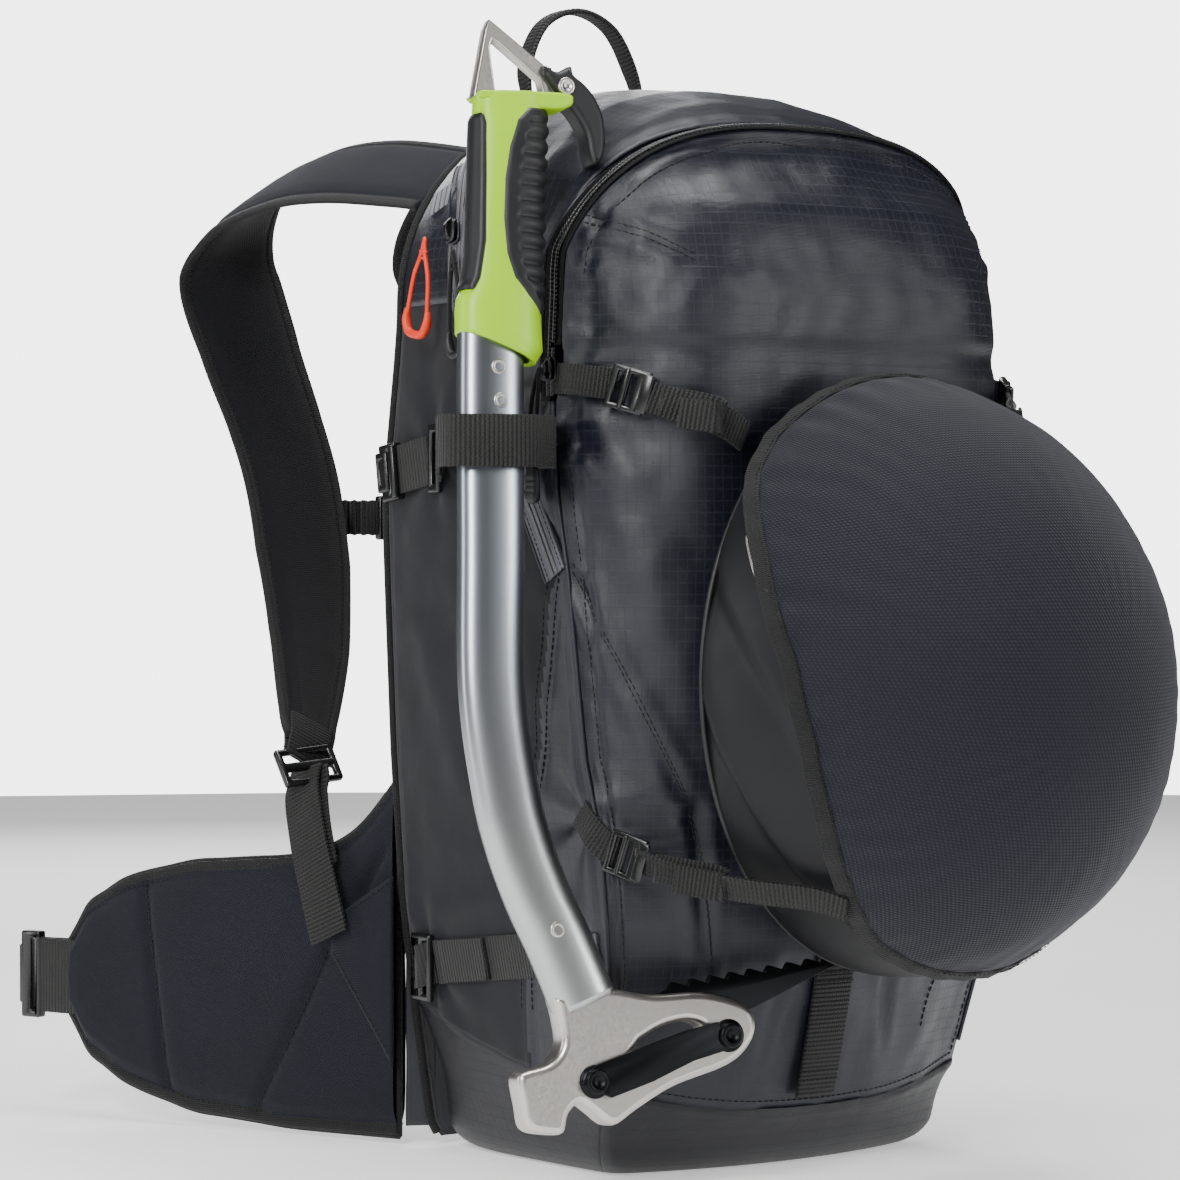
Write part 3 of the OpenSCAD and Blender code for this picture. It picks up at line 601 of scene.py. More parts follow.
web_grey = ribbed_webbing("grey_webbing", (0.16, 0.17, 0.19), (0.30, 0.31, 0.33),
                          stripe=(0.03, 0.032, 0.04))
thread = woven("thread", (0.004, 0.004, 0.005), (0.012, 0.012, 0.015), 0.6, 0.4, 0.1, 0.05)
zip_tape = woven("zip_tape", (0.0035, 0.0035, 0.004), (0.009, 0.009, 0.010), 0.75, 0.8, 0.05, 0.1)
zip_coil = moulded("zip_coil", (0.0065, 0.0065, 0.007), 0.26)
zip_tape_grey = woven("zip_tape_grey", (0.09, 0.09, 0.105), (0.15, 0.15, 0.17), 0.7, 0.8, 0.1, 0.1)
zip_coil_grey = moulded("zip_coil_grey", (0.09, 0.09, 0.10), 0.4)
zip_metal = metal("slider_metal", (0.05, 0.05, 0.055), 0.36)
buckle = moulded("buckle_plastic", (0.0045, 0.0047, 0.005), 0.26, 0.03, 0.55)
orange = moulded("orange_cord", (0.72, 0.035, 0.008), 0.45, 0.08, 0.4, light=(0.85, 0.07, 0.015))
black_cord = woven("black_cord", (0.0045, 0.0045, 0.005), (0.014, 0.014, 0.015), 0.7, 0.9, 0.1, 0.15)
black_rubber = moulded("black_rubber", (0.0055, 0.0058, 0.0068), 0.5, 0.06, 0.45)
grey_puller = moulded("grey_puller", (0.09, 0.094, 0.10), 0.42, 0.05)
helmet_matte = moulded("helmet_matte", (0.0050, 0.0053, 0.0064), 0.46, 0.01, 0.24,
                       light=(0.0070, 0.0075, 0.0088))
foam = moulded("helmet_foam", (0.008, 0.008, 0.009), 0.9, 0.3, 0.2)
net_mat = net_cloth("helmet_net_mesh", (0.0048, 0.0052, 0.0095), (0.016, 0.0172, 0.030))
green = moulded("green_handle", (0.33, 0.62, 0.001), 0.36, 0.03, 0.3, light=(0.37, 0.68, 0.002))
steel = metal("satin_steel", (0.56, 0.535, 0.50), 0.33, (1, 1, 1), grain=0.006)
dark_steel = metal("black_steel", (0.016, 0.0165, 0.018), 0.36, grain=0.02)
frame_plastic = moulded("frame_plastic", (0.5, 0.5, 0.48), 0.5)
alloy = metal("stay_alloy", (0.5, 0.51, 0.53), 0.35)
divider_cloth = woven("divider_cloth", (0.22, 0.03, 0.02), (0.35, 0.06, 0.04))


def shaft_material():
    """Anodised alloy that runs from bright at the head to blue-grey at the grip."""
    box_lo, box_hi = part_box("tool_shaft")
    s = Surface("anodised_shaft", (0.46, 0.47, 0.47), 0.3, metallic=1.0)
    z = s.xyz()[2]
    lo, hi = box_lo.z / MM, box_hi.z / MM
    s.tint((z - mix(lo, hi, 0.18)) * (1.0 / (0.35 * (hi - lo))), (0.36, 0.39, 0.43))
    s.tint((z - mix(lo, hi, 0.72)) * (1.0 / (0.25 * (hi - lo))), (0.33, 0.345, 0.37))
    fine = s.noise(1.1, 3.0, stretch=(6, 6, 0.6))
    s.rough(fine * 0.16 + 0.24)
    s.bump(fine, 0.01, 0.7)
    return s.mat


anodised = shaft_material()


# ---- the bag's shape, in mm, as the CAD has it --------------------------------
def table(*rows):
    r = np.array(rows, float)
    return lambda v: np.interp(v, r[:, 0], r[:, 1])


def base_round(z):
    q = np.clip(BASE_R - np.asarray(z, float), 0, BASE_R)
    return BASE_R - np.sqrt(BASE_R ** 2 - q * q)


def ramp(v, a, b):
    """0 below a, 1 above b and smooth between."""
    t = np.clip((np.asarray(v, float) - a) / (b - a), 0, 1)
    return t * t * (3 - 2 * t)


BASE_R, MID, BAG_W, BACK_Y = 14.0, 400.0, 122.0, 86.0
FRONT_ARCH_H, FRONT_ARCH_N = 79, 2.6
BACK_ARCH_W, BACK_ARCH_H, BACK_ARCH_N = 112.8, 97, 2.1
FLAP_FOLD_Z, SIDE_BACK_Y = 374.5, 85.2
plain_side_x = table((0, 98), (60, 108), (120, 116), (190, 121), (260, 124), (310, 126), (360, 124),
                     (400, 122))
plain_seam_y = table((0, -54), (30, -60), (60, -66), (93, -74), (120, -77), (160, -75), (191, -68),
                     (274, -60),
                     (330, -50), (361, -48), (420, -48), (456, -66), (479, -75))
plain_centre_y = table((0, -70), (30, -84), (60, -92), (100, -101), (200, -109), (300, -112), (400, -110),
                       (440, -101), (479, -75))
face_power = table((0, 2.1), (100, 2.3), (250, 4.5), (400, 6), (479, 3))
arch_h = table((-75, 79), (-48, 90), (-20, 99), (20, 103), (60, 102), (86, 97))
arch_w = table((20, 122), (86, 117))
arch_n = table((-75, 2.6), (20, 2.4), (86, 2.1))


def side_x(z):
    return plain_side_x(z) - base_round(z)


def seam_y(z):
    return plain_seam_y(z) + base_round(z)


def centre_y(z):
    return plain_centre_y(z) + base_round(z)


def arch_outline(a, w, h, n):
    """X and z of an arch over MID, w to each side and h high, where a runs over it in degrees."""
    c, s = np.cos(np.radians(a)), np.abs(np.sin(np.radians(a)))
    return -w * np.sign(c) * np.abs(c) ** (2 / n), MID + h * s ** (2 / n)


def arch_share(x, z, w, h, n):
    """How far out a point over MID is in such an arch: 0 at its middle and 1 on its outline."""
    return ((np.abs(x) / w) ** n + (np.clip(z - MID, 0, None) / h) ** n) ** (1 / n)


def front_r(x, z):
    x, z = np.abs(np.asarray(x, float)), np.asarray(z, float)
    return np.where(z <= MID, x / side_x(z), arch_share(x, z, BAG_W, FRONT_ARCH_H, FRONT_ARCH_N))


def face_y(x, z):
    t = np.minimum(1, front_r(x, z)) ** face_power(z)
    return mix(centre_y(z), seam_y(z), t)


def arch_point(a, y):
    """A point of the bag's top: a runs over the arch from the left to the right, in degrees."""
    y = np.asarray(y, float) + 0 * np.asarray(a, float)
    x, z = arch_outline(a, arch_w(y), arch_h(y), arch_n(y))
    return np.stack([x, y, z], -1)


def arch_seam(a):
    """Y of the main zip's line at a on the arch."""
    return seam_y(arch_point(a, -75.0)[..., 2])


def taper(y, z):
    """How much the bag's sides draw in towards the back as they near the shoulder."""
    return (BAG_W - arch_w(y)) * ramp(z, 290, MID)


def on_left(y, z, out=0.0):
    """A point out from the bag's left side."""
    y, z = np.broadcast_arrays(np.asarray(y, float), np.asarray(z, float))
    n = arch_n(y)
    up = np.clip(1 - (np.clip(z - MID, 0, None) / arch_h(y)) ** n, 0.01, None) ** (1 / n)
    x = np.where(z > MID, arch_w(y) * up, side_x(z) - taper(y, z))
    return np.stack([-x - out, y, z], -1)


def left_normal(y, z):
    dz = on_left(y, z + 3) - on_left(y, z - 3)
    dy = on_left(y + 3, z) - on_left(y - 3, z)
    return unit(np.cross(dz, dy))


def boot_line_front(x):
    return 28 + 13 * (np.asarray(x, float) / 104) ** 2


boot_line_side = table((-70, 40.5), (-57, 42), (2, 49), (39, 58), (72, 70), (86, 74))
rear_line = table((50, -8), (100, -14), (200, -36), (274, -50), (300, -36), (330, -18), (387, 21),
                  (400, 24))


def segment_distance(P, a, b):
    a, b = np.asarray(a, float), np.asarray(b, float)
    t = np.clip(((P - a) @ (b - a)) / ((b - a) @ (b - a)), 0, 1)
    return np.linalg.norm(P - (a + t[..., None] * (b - a)), axis=-1), t


def fold(P, a, b, w, depth):
    """Height of a fold along a line: a groove where depth is negative, a ridge where positive."""
    d, t = segment_distance(P, a, b)
    ends = ramp(t, 0, 0.12) * (1 - ramp(t, 0.75, 1.0))
    return depth * ends * (np.exp(-(d / w) ** 2) - 0.45 * np.exp(-((d - 2.1 * w) / w) ** 2))


def cloth_relief(P, edge, big=1.5, fine=0.5, pucker=0.7, seed=0.0):
    """Slack in sewn cloth: broad swells, finer wrinkles, and puckers that run in from the seams."""
    e = np.clip(edge, 0, None)
    swell = noise3(P * arr(1, 1, 0.7), 62, seed) + 0.5 * noise3(P, 30, seed + 4)
    small = noise3(P + 4 * noise3(P, 25, seed + 7)[..., None], 14, seed + 9)
    ripples = noise3(P, 6.5, seed + 11)
    return (big * swell * ramp(e, 0, 22) + fine * small * ramp(e, 0, 12)
            + pucker * ripples * np.exp(-(e / 9) ** 1.5) * ramp(e, 0, 3))


STRAP_ANCHORS = [arr(-125, -41, 333), arr(-130, 40, 327), arr(-125, -54, 362), arr(125, -54, 362),
                 arr(-120, -68, 164), arr(120, -68, 164), arr(-118, 66, 90)]


def anchor_pull(P, reach=34, depth=1.1):
    """Fans of fine folds that run out from where straps are sewn in."""
    h = np.zeros(P.shape[:-1])
    for k, a in enumerate(STRAP_ANCHORS):
        d = P - a
        r = np.linalg.norm(d, axis=-1)
        turn = np.arctan2(d[..., 2], d[..., 1] + d[..., 0] * 0.7)
        h += depth * np.cos(turn * 7 + k) * np.exp(-((r - 15) / reach) ** 2) * ramp(r, 3, 16)
    return h


# ---- bag panels ---------------------------------------------------------------
def front_points(c, t):
    """The front cloth from the boot's seam (t = 0) over the flap's fold (t = 1) to the arch (t = 2).
    c is 0 to 180 across it. Returns the points and their distance from the outer seam."""
    k = -np.cos(np.radians(c))
    low_z = mix(boot_line_front(k * 104), FLAP_FOLD_Z, np.minimum(t, 1))
    inset = 1 - 0.002 - 0.9 / BAG_W * ramp(low_z, 346, 366)
    v = np.clip(t - 1, 0, 1)
    top_x, top_z = arch_outline(c, BAG_W, FRONT_ARCH_H * 0.99, FRONT_ARCH_N)
    flap_x = mix(side_x(FLAP_FOLD_Z) * k, top_x, v) * (1 - 0.9 / BAG_W)
    x = np.where(t <= 1, k * side_x(low_z) * inset, flap_x)
    z = np.where(t <= 1, low_z, mix(FLAP_FOLD_Z, top_z, v))
    y = face_y(x, z) - 2.2 * ramp(z, 335, 374)
    P = np.stack([x, y, z], -1)
    side = side_x(np.minimum(z, MID)) * (1 - np.abs(k))
    rim = np.where(z > MID - 20, (0.995 - front_r(x, z)) * 100, 99)
    return P, np.minimum(side, np.clip(rim, 0, None))


def crown_and_stitch(edge):
    """Sewn edge: the cloth rises off its seam and dips at the stitch line."""
    return 1.7 * ramp(edge, 0, 7) - 0.9 * np.exp(-((edge - 4.6) / 1.1) ** 2)


FRONT_FOLDS = (((114.7, -58, 434), (84, -99, 414), 3.2, -2.6), ((104, -76, 421), (58, -108, 396), 7, 1.6),
               ((122.5, -62, 276), (83, -96, 165), 3.4, -2.8), ((83, -96, 178), (70, -96, 70), 3.6, -2.6),
               ((118, -66, 350), (96, -98, 250), 9, 1.5), ((121, -60, 340), (100, -90, 292), 6, -1.4),
               ((30, -100, 100), (40, -90, 45), 3.0, -1.7))


def front_cloth():
    c = np.linspace(0, 180, 125)
    t = np.concatenate([np.linspace(0, 1, 104), np.linspace(1, 2, 46)[1:]])
    C, T = np.meshgrid(c, t)
    P, edge = front_points(C, T)
    N = grid_normals(P)
    N[:, 0], N[:, -1] = N[:, 2], N[:, -3]
    h = cloth_relief(P, edge, 2.0, 0.75, 1.0) + 1.1 * anchor_pull(P)
    h += crown_and_stitch(edge) * ramp(P[..., 2], 60, 110)
    for s in (-1, 1):
        for a, b, w, depth in FRONT_FOLDS:
            h += fold(P, arr(*a) * arr(s, 1, 1), arr(*b) * arr(s, 1, 1), w, depth)
    h *= 1 - 0.75 * ramp(np.abs(P[..., 2] - 374), 9, 0)
    P = P + N * h[..., None]
    x, y, z = np.moveaxis(P, -1, 0)
    wrap = 0.9 * np.clip(y - centre_y(z), 0, None)
    uv = np.stack([x + np.sign(x) * wrap, z + 0.5 * wrap * ramp(z, 410, 470)], -1)
    ob = shell_mesh("front_cloth", P, 1.1, [navy, inside], N, uv)
    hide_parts("lower_front_panel", "front_flap")
    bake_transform(ob)
    return P


def side_points(u, t):
    """The left side cloth: t from the boot's seam to the shoulder, u from the front to the back."""
    z0 = boot_line_side(mix(-66.0, 85.0, u))
    z = mix(z0, MID, t)
    start = seam_y(z) + mix(0.5, 6.0, ramp(z, 346, 362))
    y = mix(start, SIDE_BACK_Y, u)
    x = -side_x(z) + taper(y, z) + 4 * np.clip(u * 2 - 1, 0, None) ** 4
    return np.stack([x, y, z], -1), np.minimum(y - start, 86 - y)


def rear_ridge(P):
    """The seam between the side's front and rear cloth."""
    d = (P[..., 1] - rear_line(P[..., 2])) * 0.85
    return 0.9 * np.exp(-(d / 2.2) ** 2) - 0.8 * np.exp(-((d + 5) / 1.3) ** 2)


SIDE_FOLDS = (((-124, -36, 318), (-120, 30, 205), 8, 1.6), ((-124, 30, 318), (-118, -30, 190), 9, -1.4),
              ((-118, 55, 110), (-112, -10, 130), 6, 1.3), ((-122, 60, 260), (-122, 10, 150), 10, 1.3))


def side_cloth(s):
    """The left side's cloth where s is -1, and its mirror image where s is 1."""
    u, t = np.linspace(1, 0, 76), np.append(np.linspace(0, 1, 150), (1.004, 1.012))
    U, T = np.meshgrid(u, t)
    P, edge = side_points(U, T)
    N = grid_normals(P)
    h = cloth_relief(P * arr(s, 1, 1), edge, 1.7, 0.5, 0.7, seed=2.0 if s > 0 else 0.0)
    h += anchor_pull(P) + crown_and_stitch(edge) * 0.8
    for a, b, w, depth in SIDE_FOLDS:
        h += fold(P, a, b, w, depth)
    h *= ramp(edge, 0, 5) * ramp(MID + 2 - P[..., 2], 0, 14)
    h = h - 1.3 * ramp(P[..., 2], MID, MID + 1.6)
    if s < 0:
        h += rear_ridge(P)
        rear = (P[:-1, :-1, 1] > rear_line(P[:-1, :-1, 2])).astype(int)
        keep_flat = np.exp(-((P[..., 1] - rear_line(P[..., 2])) / 9) ** 2) * ramp(P[..., 2], 262, 275)
        h *= 1 - keep_flat
    P = P + N * h[..., None]
    uv = np.stack([P[..., 1], P[..., 2]], -1)
    if s > 0:
        P, N, uv = P[:, ::-1] * arr(-1, 1, 1), N[:, ::-1] * arr(-1, 1, 1), uv[:, ::-1]
        rear = (P[:-1, :-1, 1] > rear_line(P[:-1, :-1, 2])).astype(int)
    side = "left" if s < 0 else "right"
    cloth = shell_mesh("side_cloth_" + side, P, 1.1, [navy, rear_cloth, inside], N, uv, rear)
    declare(cloth, "pack", "shell_fabric", "side_panel_" + side)
    return P


def top_cloth():
    a, u = np.linspace(0, 180, 150), np.linspace(0, 1, 56)
    A, U = np.meshgrid(a, u)
    start = arch_seam(A) + 6.0
    y = mix(start, SIDE_BACK_Y, U)
    P = arch_point(A, y)
    tuck = 0.033 * np.clip(U * 2 - 1, 0, None) ** 4
    P[..., 0] *= 1 - tuck
    P[..., 2] -= (P[..., 2] - MID) * tuck * 0.6
    N = grid_normals(P)
    edge = np.minimum(y - start, 86 - y)
    h = cloth_relief(P, edge, 1.8, 0.5, 0.8) + crown_and_stitch(edge) * 0.8
    h += fold(P, (-60, 80, 480), (-85, -30, 462), 8, 1.6) + fold(P, (70, 80, 478), (60, -40, 476), 9, 1.5)
    h *= ramp(edge, 0, 5) * ramp(P[..., 2] - MID + 2, 0, 14)
    P = P + N * h[..., None]
    run = np.cumsum(np.linalg.norm(np.diff(P, axis=1), axis=2), axis=1)
    run = np.concatenate([np.zeros((len(u), 1)), run], 1)
    v = MID + np.minimum(run, run[:, -1:] - run)
    uv = np.stack([P[..., 1], v], -1)
    declare(shell_mesh("top_cloth", P, 1.1, [navy, inside], N, uv), "pack", "shell_fabric", "top_panel")


def boot_points(n):
    """The boot's outline at a turn of n points: rows from the middle of the floor to its seam."""
    base = BASE_R * (1 - np.cos(np.radians(np.linspace(8, 90, 10))))
    zs = np.concatenate([[0.0] * 5, base, np.linspace(0.1, 1, 18)])
    front = np.sin(np.radians(np.linspace(-90, 90, n)))
    side = np.linspace(0, 1, n // 2 + 2)[1:]
    rows = []
    for i, z in enumerate(zs):
        f = (0.2, 0.45, 0.7, 0.9, 1.0)[i] if i < 5 else 1.0

        def level(seam):
            return mix(BASE_R, seam + 0.6, z) if i >= 15 else z + 0 * seam

        zf = level(boot_line_front(front * 104))
        row = np.stack([front * side_x(zf), face_y(front * side_x(zf) * 0.9999, zf), zf], 1)
        zr = level(boot_line_side(mix(-66, 85, side)))
        back = BACK_Y - base_round(zr) - 1
        right = np.stack([side_x(zr) - 5 * side ** 8, mix(seam_y(zr), back, side), zr], 1)
        bz = level(boot_line_side(86.0))
        bx = np.linspace(1, -1, n)[1:-1] * (side_x(bz) - 5.5)
        bump = 1.2 * (1 - (np.linspace(-1, 1, n)[1:-1]) ** 8)
        rear = np.stack([bx, BACK_Y - base_round(bz) - 1 + bump, bz + 0 * bx], 1)
        row = np.vstack([row, right, rear, right[::-1] * arr(-1, 1, 1)])
        rows.append(np.stack([row[:, 0] * f, mix(10.0, row[:, 1], f), row[:, 2]], 1))
    P = np.array(rows)
    return np.concatenate([P, P[:, :1]], 1)


def boot():
    P = boot_points(90)
    soft = P.copy()
    for _ in range(70):
        ring = soft[:, :-1]
        soft[:, :-1] = 0.5 * ring + 0.25 * (np.roll(ring, 1, 1) + np.roll(ring, -1, 1))
    soft[:, -1] = soft[:, 0]
    sewn = np.clip((np.arange(len(P)) - 15) / 16, 0, 1)[:, None]
    P[..., :2] = mix(soft[..., :2], P[..., :2], (sewn ** 2)[..., None])
    N = grid_normals(P)
    N[:, 0] = N[:, -1] = unit(N[:, 1] + N[:, -2])
    N[:4] = -Z
    z = P[..., 2]
    h = (1.1 * noise3(P, 48) + 0.35 * noise3(P, 16, 3)) * ramp(z, 10, 24)
    y = P[..., 1]
    seam = np.where(y > seam_y(z) + 2, boot_line_side(y), boot_line_front(P[..., 0]))
    seam = np.where(np.abs(y - BACK_Y) < 12, 74, seam)
    h += 1.4 * np.exp(-((seam - z) / 5) ** 2) - 1.6 * np.exp(-((seam - z) / 1.3) ** 2)
    h += 0.5 * noise3(P, 7, 5) * np.exp(-((seam - z) / 7) ** 2)
    P = P + N * (h * ramp(z, 3, 12))[..., None]
    declare(shell_mesh("boot", P, 1.5, [boot_cloth, inside], N), "pack", "boot_fabric", "base_boot")


front_P = front_cloth()
left_P = side_cloth(-1)
side_cloth(1)
top_cloth()
boot()


# ---- zips -----------------------------------------------------------------------
def near_cloth(P, line, out=0.25):
    """The points of a cloth grid nearest to a line, evened out, a little out from it."""
    flat, N = P.reshape(-1, 3), grid_normals(P).reshape(-1, 3)
    found = [int(np.argmin(((flat - q) ** 2).sum(1))) for q in line]
    n = unit(N[found])
    lift = ((flat[found] - line) * n).sum(1)
    for _ in range(6):
        lift[1:-1] = 0.5 * lift[1:-1] + 0.25 * (lift[2:] + lift[:-2])
        n[1:-1] = unit(0.5 * n[1:-1] + 0.25 * (n[2:] + n[:-2]))
    return line + n * (lift + out)[:, None]


def zip_line(shift, out, lowest):
    """The main zip's line moved back by shift, and out: left, over the arch and down the right."""
    z = np.arange(lowest, MID, 3.0)
    left = np.stack([-side_x(z), seam_y(z) + 1.2, z], 1)
    a = np.linspace(0, 180, 121)
    top = arch_point(a, -75.0)
    top[:, 1] = arch_seam(a) + 1.2
    P = np.vstack([left, top, left[::-1] * arr(-1, 1, 1)])
    high = P[:, 2] > MID
    P[:, 0] *= 1 + out / BAG_W
    P[:, 1] += shift
    P[high, 2] = MID + (P[high, 2] - MID) * (1 + out / 90)
    return resample(P, 2.0)


def main_zip():
    bag = zip_line(3.6, 0.6, 352)
    declare(join("main_zip_bag_side", [
        sweep("t", bag, Y, section_rect(7.0, 1.0), [zip_tape]),
        beads("c", zip_line(1.3, 1.3, 354), zip_coil, 1.9, 3.0, 0.7, Y),
        sweep("p", zip_line(7.2, 1.0, 356), Y, section_round(2.6, 8), [navy]),
        stitches("s", zip_line(4.4, 1.3, 355), thread, 2.6, 1.9, 0.5)]), "pack", "black_zip",
            "main_zip_bag_half")
    low = [join("lower_coil_%d" % k, [
        beads("c", [p * arr(s, 1, 1) for p in zip_line(-1.5, 1.2, 354)[:12]], zip_coil, 1.9, 3.0, 0.7, Y)])
        for k, s in ((0, 1), (1, -1))]
    declare(join("main_zip_lower_ends", low), "pack", "black_zip")
    declare(join("main_zip_flap_side", [
        sweep("t", zip_line(-2.6, -0.2, 377), Y, section_rect(5.6, 1.0), [zip_tape]),
        beads("c", zip_line(-1.5, 1.2, 378), zip_coil, 1.9, 3.0, 0.7, Y),
        stitches("s", zip_line(-4.2, 0.7, 378), thread, 2.6, 1.9, 0.5)]), "flap", "black_zip",
            "main_zip_flap_half")


def slider_body(at, R, w, h, t, mat):
    """A zip slider: two plates with a waist between them and a bridge for its pull. R's columns are
    across, out and up."""
    parts = []
    n = 24
    a = np.arange(n) * 2 * math.pi / n
    plates = ((w, h, t * 0.35, 0.18), (w * 0.92, h, t * 0.35, 0.82), (w * 0.5, h * 0.7, t * 0.4, 0.5))
    for k, (ww, hh, tt, out) in enumerate(plates):
        ring = np.stack([np.sign(np.cos(a)) * np.abs(np.cos(a)) ** 0.6 * ww / 2 * (1 - 0.16 * np.sin(a)),
                         np.sign(np.sin(a)) * np.abs(np.sin(a)) ** 0.6 * hh / 2], 1)
        V, F = [], []
        for f, o in ((0.86, -0.5), (1.0, -0.3), (1.0, 0.3), (0.86, 0.5)):
            V += [at + R @ arr(p[0] * f, t * out + o * tt, p[1] * f) for p in ring]
        for i in range(3):
            F += [(i * n + j, (i + 1) * n + j, (i + 1) * n + (j + 1) % n, i * n + (j + 1) % n)
                  for j in range(n)]
        F += [tuple(range(n)), tuple(3 * n + j for j in range(n - 1, -1, -1))]
        parts.append(add_mesh("b%d" % k, V, F, None, [mat]))
    bow = ((0.9, -0.36), (1.2, -0.3), (1.45, -0.1), (1.45, 0.15), (1.2, 0.32), (0.9, 0.38))
    up = [at + R @ arr(0, t * q, h * z) for q, z in bow]
    parts.append(sweep("bridge", smooth(up, 4), R[:, 0], section_rect(w * 0.3, t * 0.2, 0.15), [mat]))
    return parts


def basis(out, up=Z):
    """Columns: across, out and up."""
    out = unit(np.asarray(out, float))
    across = unit(np.cross(out, up))
    return np.stack([across, out, np.cross(across, out)], 1)


def toggle(name, at, down, across, length, w, t, mat, grooves=3):
    """A moulded pull: a tapered bar with rounded ends and grooves across it."""
    s = np.linspace(0, 1, 26)
    P = np.asarray(at, float) + np.outer(s * length, unit(down))
    k = np.sqrt(np.clip(1 - (2 * s - 1) ** 8, 0.02, 1)) * mix(0.72, 1.0, ramp(s, 0, 0.5))
    g = sum(np.exp(-((s - 0.45 - 0.13 * j) / 0.025) ** 2) for j in range(grooves))
    turns = np.arange(20) * math.pi / 10
    sec = np.array([(math.copysign(abs(math.cos(a)) ** 0.6, math.cos(a)) * w / 2,
                     math.copysign(abs(math.sin(a)) ** 0.6, math.sin(a)) * t / 2) for a in turns])
    return sweep(name, P, across, sec, [mat], scale=np.stack([k, k * (1 - 0.18 * g)], 1))


SLIDER_L, SLIDER_R = arr(-125.4, -48.06, 366), arr(125.4, -48.06, 372)


def main_zip_pulls():
    left, right = basis((-1, -0.05, 0.05)), basis((1, -0.05, 0.05))
    declare(join("slider_left", slider_body(SLIDER_L + arr(0.6, 0, 0), left, 7.6, 11, 4.2, zip_metal)),
            "zip_slider_left", "zip_metal", "main_zip_slider_left")
    declare(join("slider_right", slider_body(SLIDER_R - arr(0.6, 0, 0), right, 7.6, 11, 4.2, zip_metal)),
            "pack", "zip_metal", "main_zip_slider_right")
    at = SLIDER_L + arr(-6.6, 0, -1)
    loop = smooth([(0, 0, 1.5), (-1.6, 1.4, -6), (-3.2, 2.5, -18), (-3.8, 2.6, -32), (-3.8, 1.6, -41),
                   (-3.8, 0.6, -45)], 6)
    loop = np.vstack([loop, loop[::-1][1:] * arr(1, -1, 1)])
    declare(join("pull_cord_left", [
        sweep("cord", loop + at, X, section_round(2.0, 8), [black_cord]),
        toggle("toggle", at + arr(-3.8, 0, -40), -Z, Y, 19.5, 8, 4.4, black_rubber, 3)]),
        "zip_pull_left", "black_rubber", "main_zip_pull_left")
    hinge = SLIDER_R + arr(5, 0, 0)
    down = arr(0.788, 0, -0.616)
    wire = arr((2.2, -3, -3), (0.4, -2.6, 0), (0.2, 0, 1.2), (0.4, 2.6, 0), (2.2, 3, -3))
    declare(join("puller_right", [
        toggle("bar", hinge + down * 3 + arr(1.2, 0, 1.6), down, Y, 29.5, 11, 4, grey_puller, 2),
        sweep("wire", smooth(hinge + wire, 5), X, section_round(1.4, 8), [zip_metal])]),
        "zip_puller_right", "grey_puller", "main_zip_puller_right")


SIDE_ZIP = arr((58, 470), (35, 441), (19, 387), (-28, 317), (-52, 274))


def side_zip():
    yz = resample(smooth(SIDE_ZIP, 8), 1.6)
    N = left_normal(yz[:, 0], yz[:, 1])
    P = on_left(yz[:, 0], yz[:, 1], 1.0)
    W = unit(np.cross(N, tangents(P)))
    rows = [sweep("tape", P, W, section_rect(16.5, 1.0), [zip_tape_grey])]
    for s, cloth in ((-1, navy), (1, rear_cloth)):
        rows.append(beads("coil", P + W * 1.5 * s + N * 0.75, zip_coil_grey, 1.5, 2.6, 0.35, W))
        rows.append(stitches("s", P + W * 5.6 * s + N * 0.6, thread, 2.6, 1.9, 0.4))
        rows.append(sweep("edge", P + W * 8.3 * s + N * 0.1, W, section_round(1.9, 8), [cloth]))
    declare(join("side_zip_tape", rows), "pack", "grey_zip", "side_zip")


def side_pull(name, body, slot, node, top, tilt, length, w, mat, mould):
    """A cord loop of a length and width that hangs from top at a tilt, with a moulded end."""
    c, s = math.cos(math.radians(tilt)), math.sin(math.radians(tilt))
    turn = np.array([[1, 0, 0], [0, c, -s], [0, s, c]])
    half = smooth([(0, 0, 0.4), (0, 1.5, -7), (0, w * 0.36, -length * 0.5), (0, w / 2, -length)], 7)
    cord = np.vstack([half[::-1] * arr(1, -1, 1), half[1:]])
    edge = [(w / 2, 3), (w / 2 + 0.4, -2), (w * 0.34, -7.4)]
    end = [(0, -y, -length + z) for y, z in edge] + [(0, 0, -length - 8.4)]
    end = smooth(end + [(0, y, -length + z) for y, z in edge[::-1]], 6)
    k = 1 - 0.35 * ramp(np.abs(np.linspace(-1, 1, len(end))), 0.6, 1.0)
    parts = [sweep("cord", cord @ turn.T + top, X, section_round(2.2, 8), [mat]),
             sweep("end", end @ turn.T + top, X, section_round(4.6, 10, 0.85), [mould],
                   scale=np.stack([k, k], 1))]
    for z0 in (-5.5, -8.5):
        ring = [(0.9 * math.cos(q), 2.1 * math.sin(q) * (1 + z0 * -0.02), z0)
                for q in np.arange(14) * math.pi / 7]
        parts.append(sweep("band", np.array(ring) @ turn.T + top, Z, section_round(1.3, 6), [mat],
                           closed=True))
    declare(join(name, parts), body, slot, node)


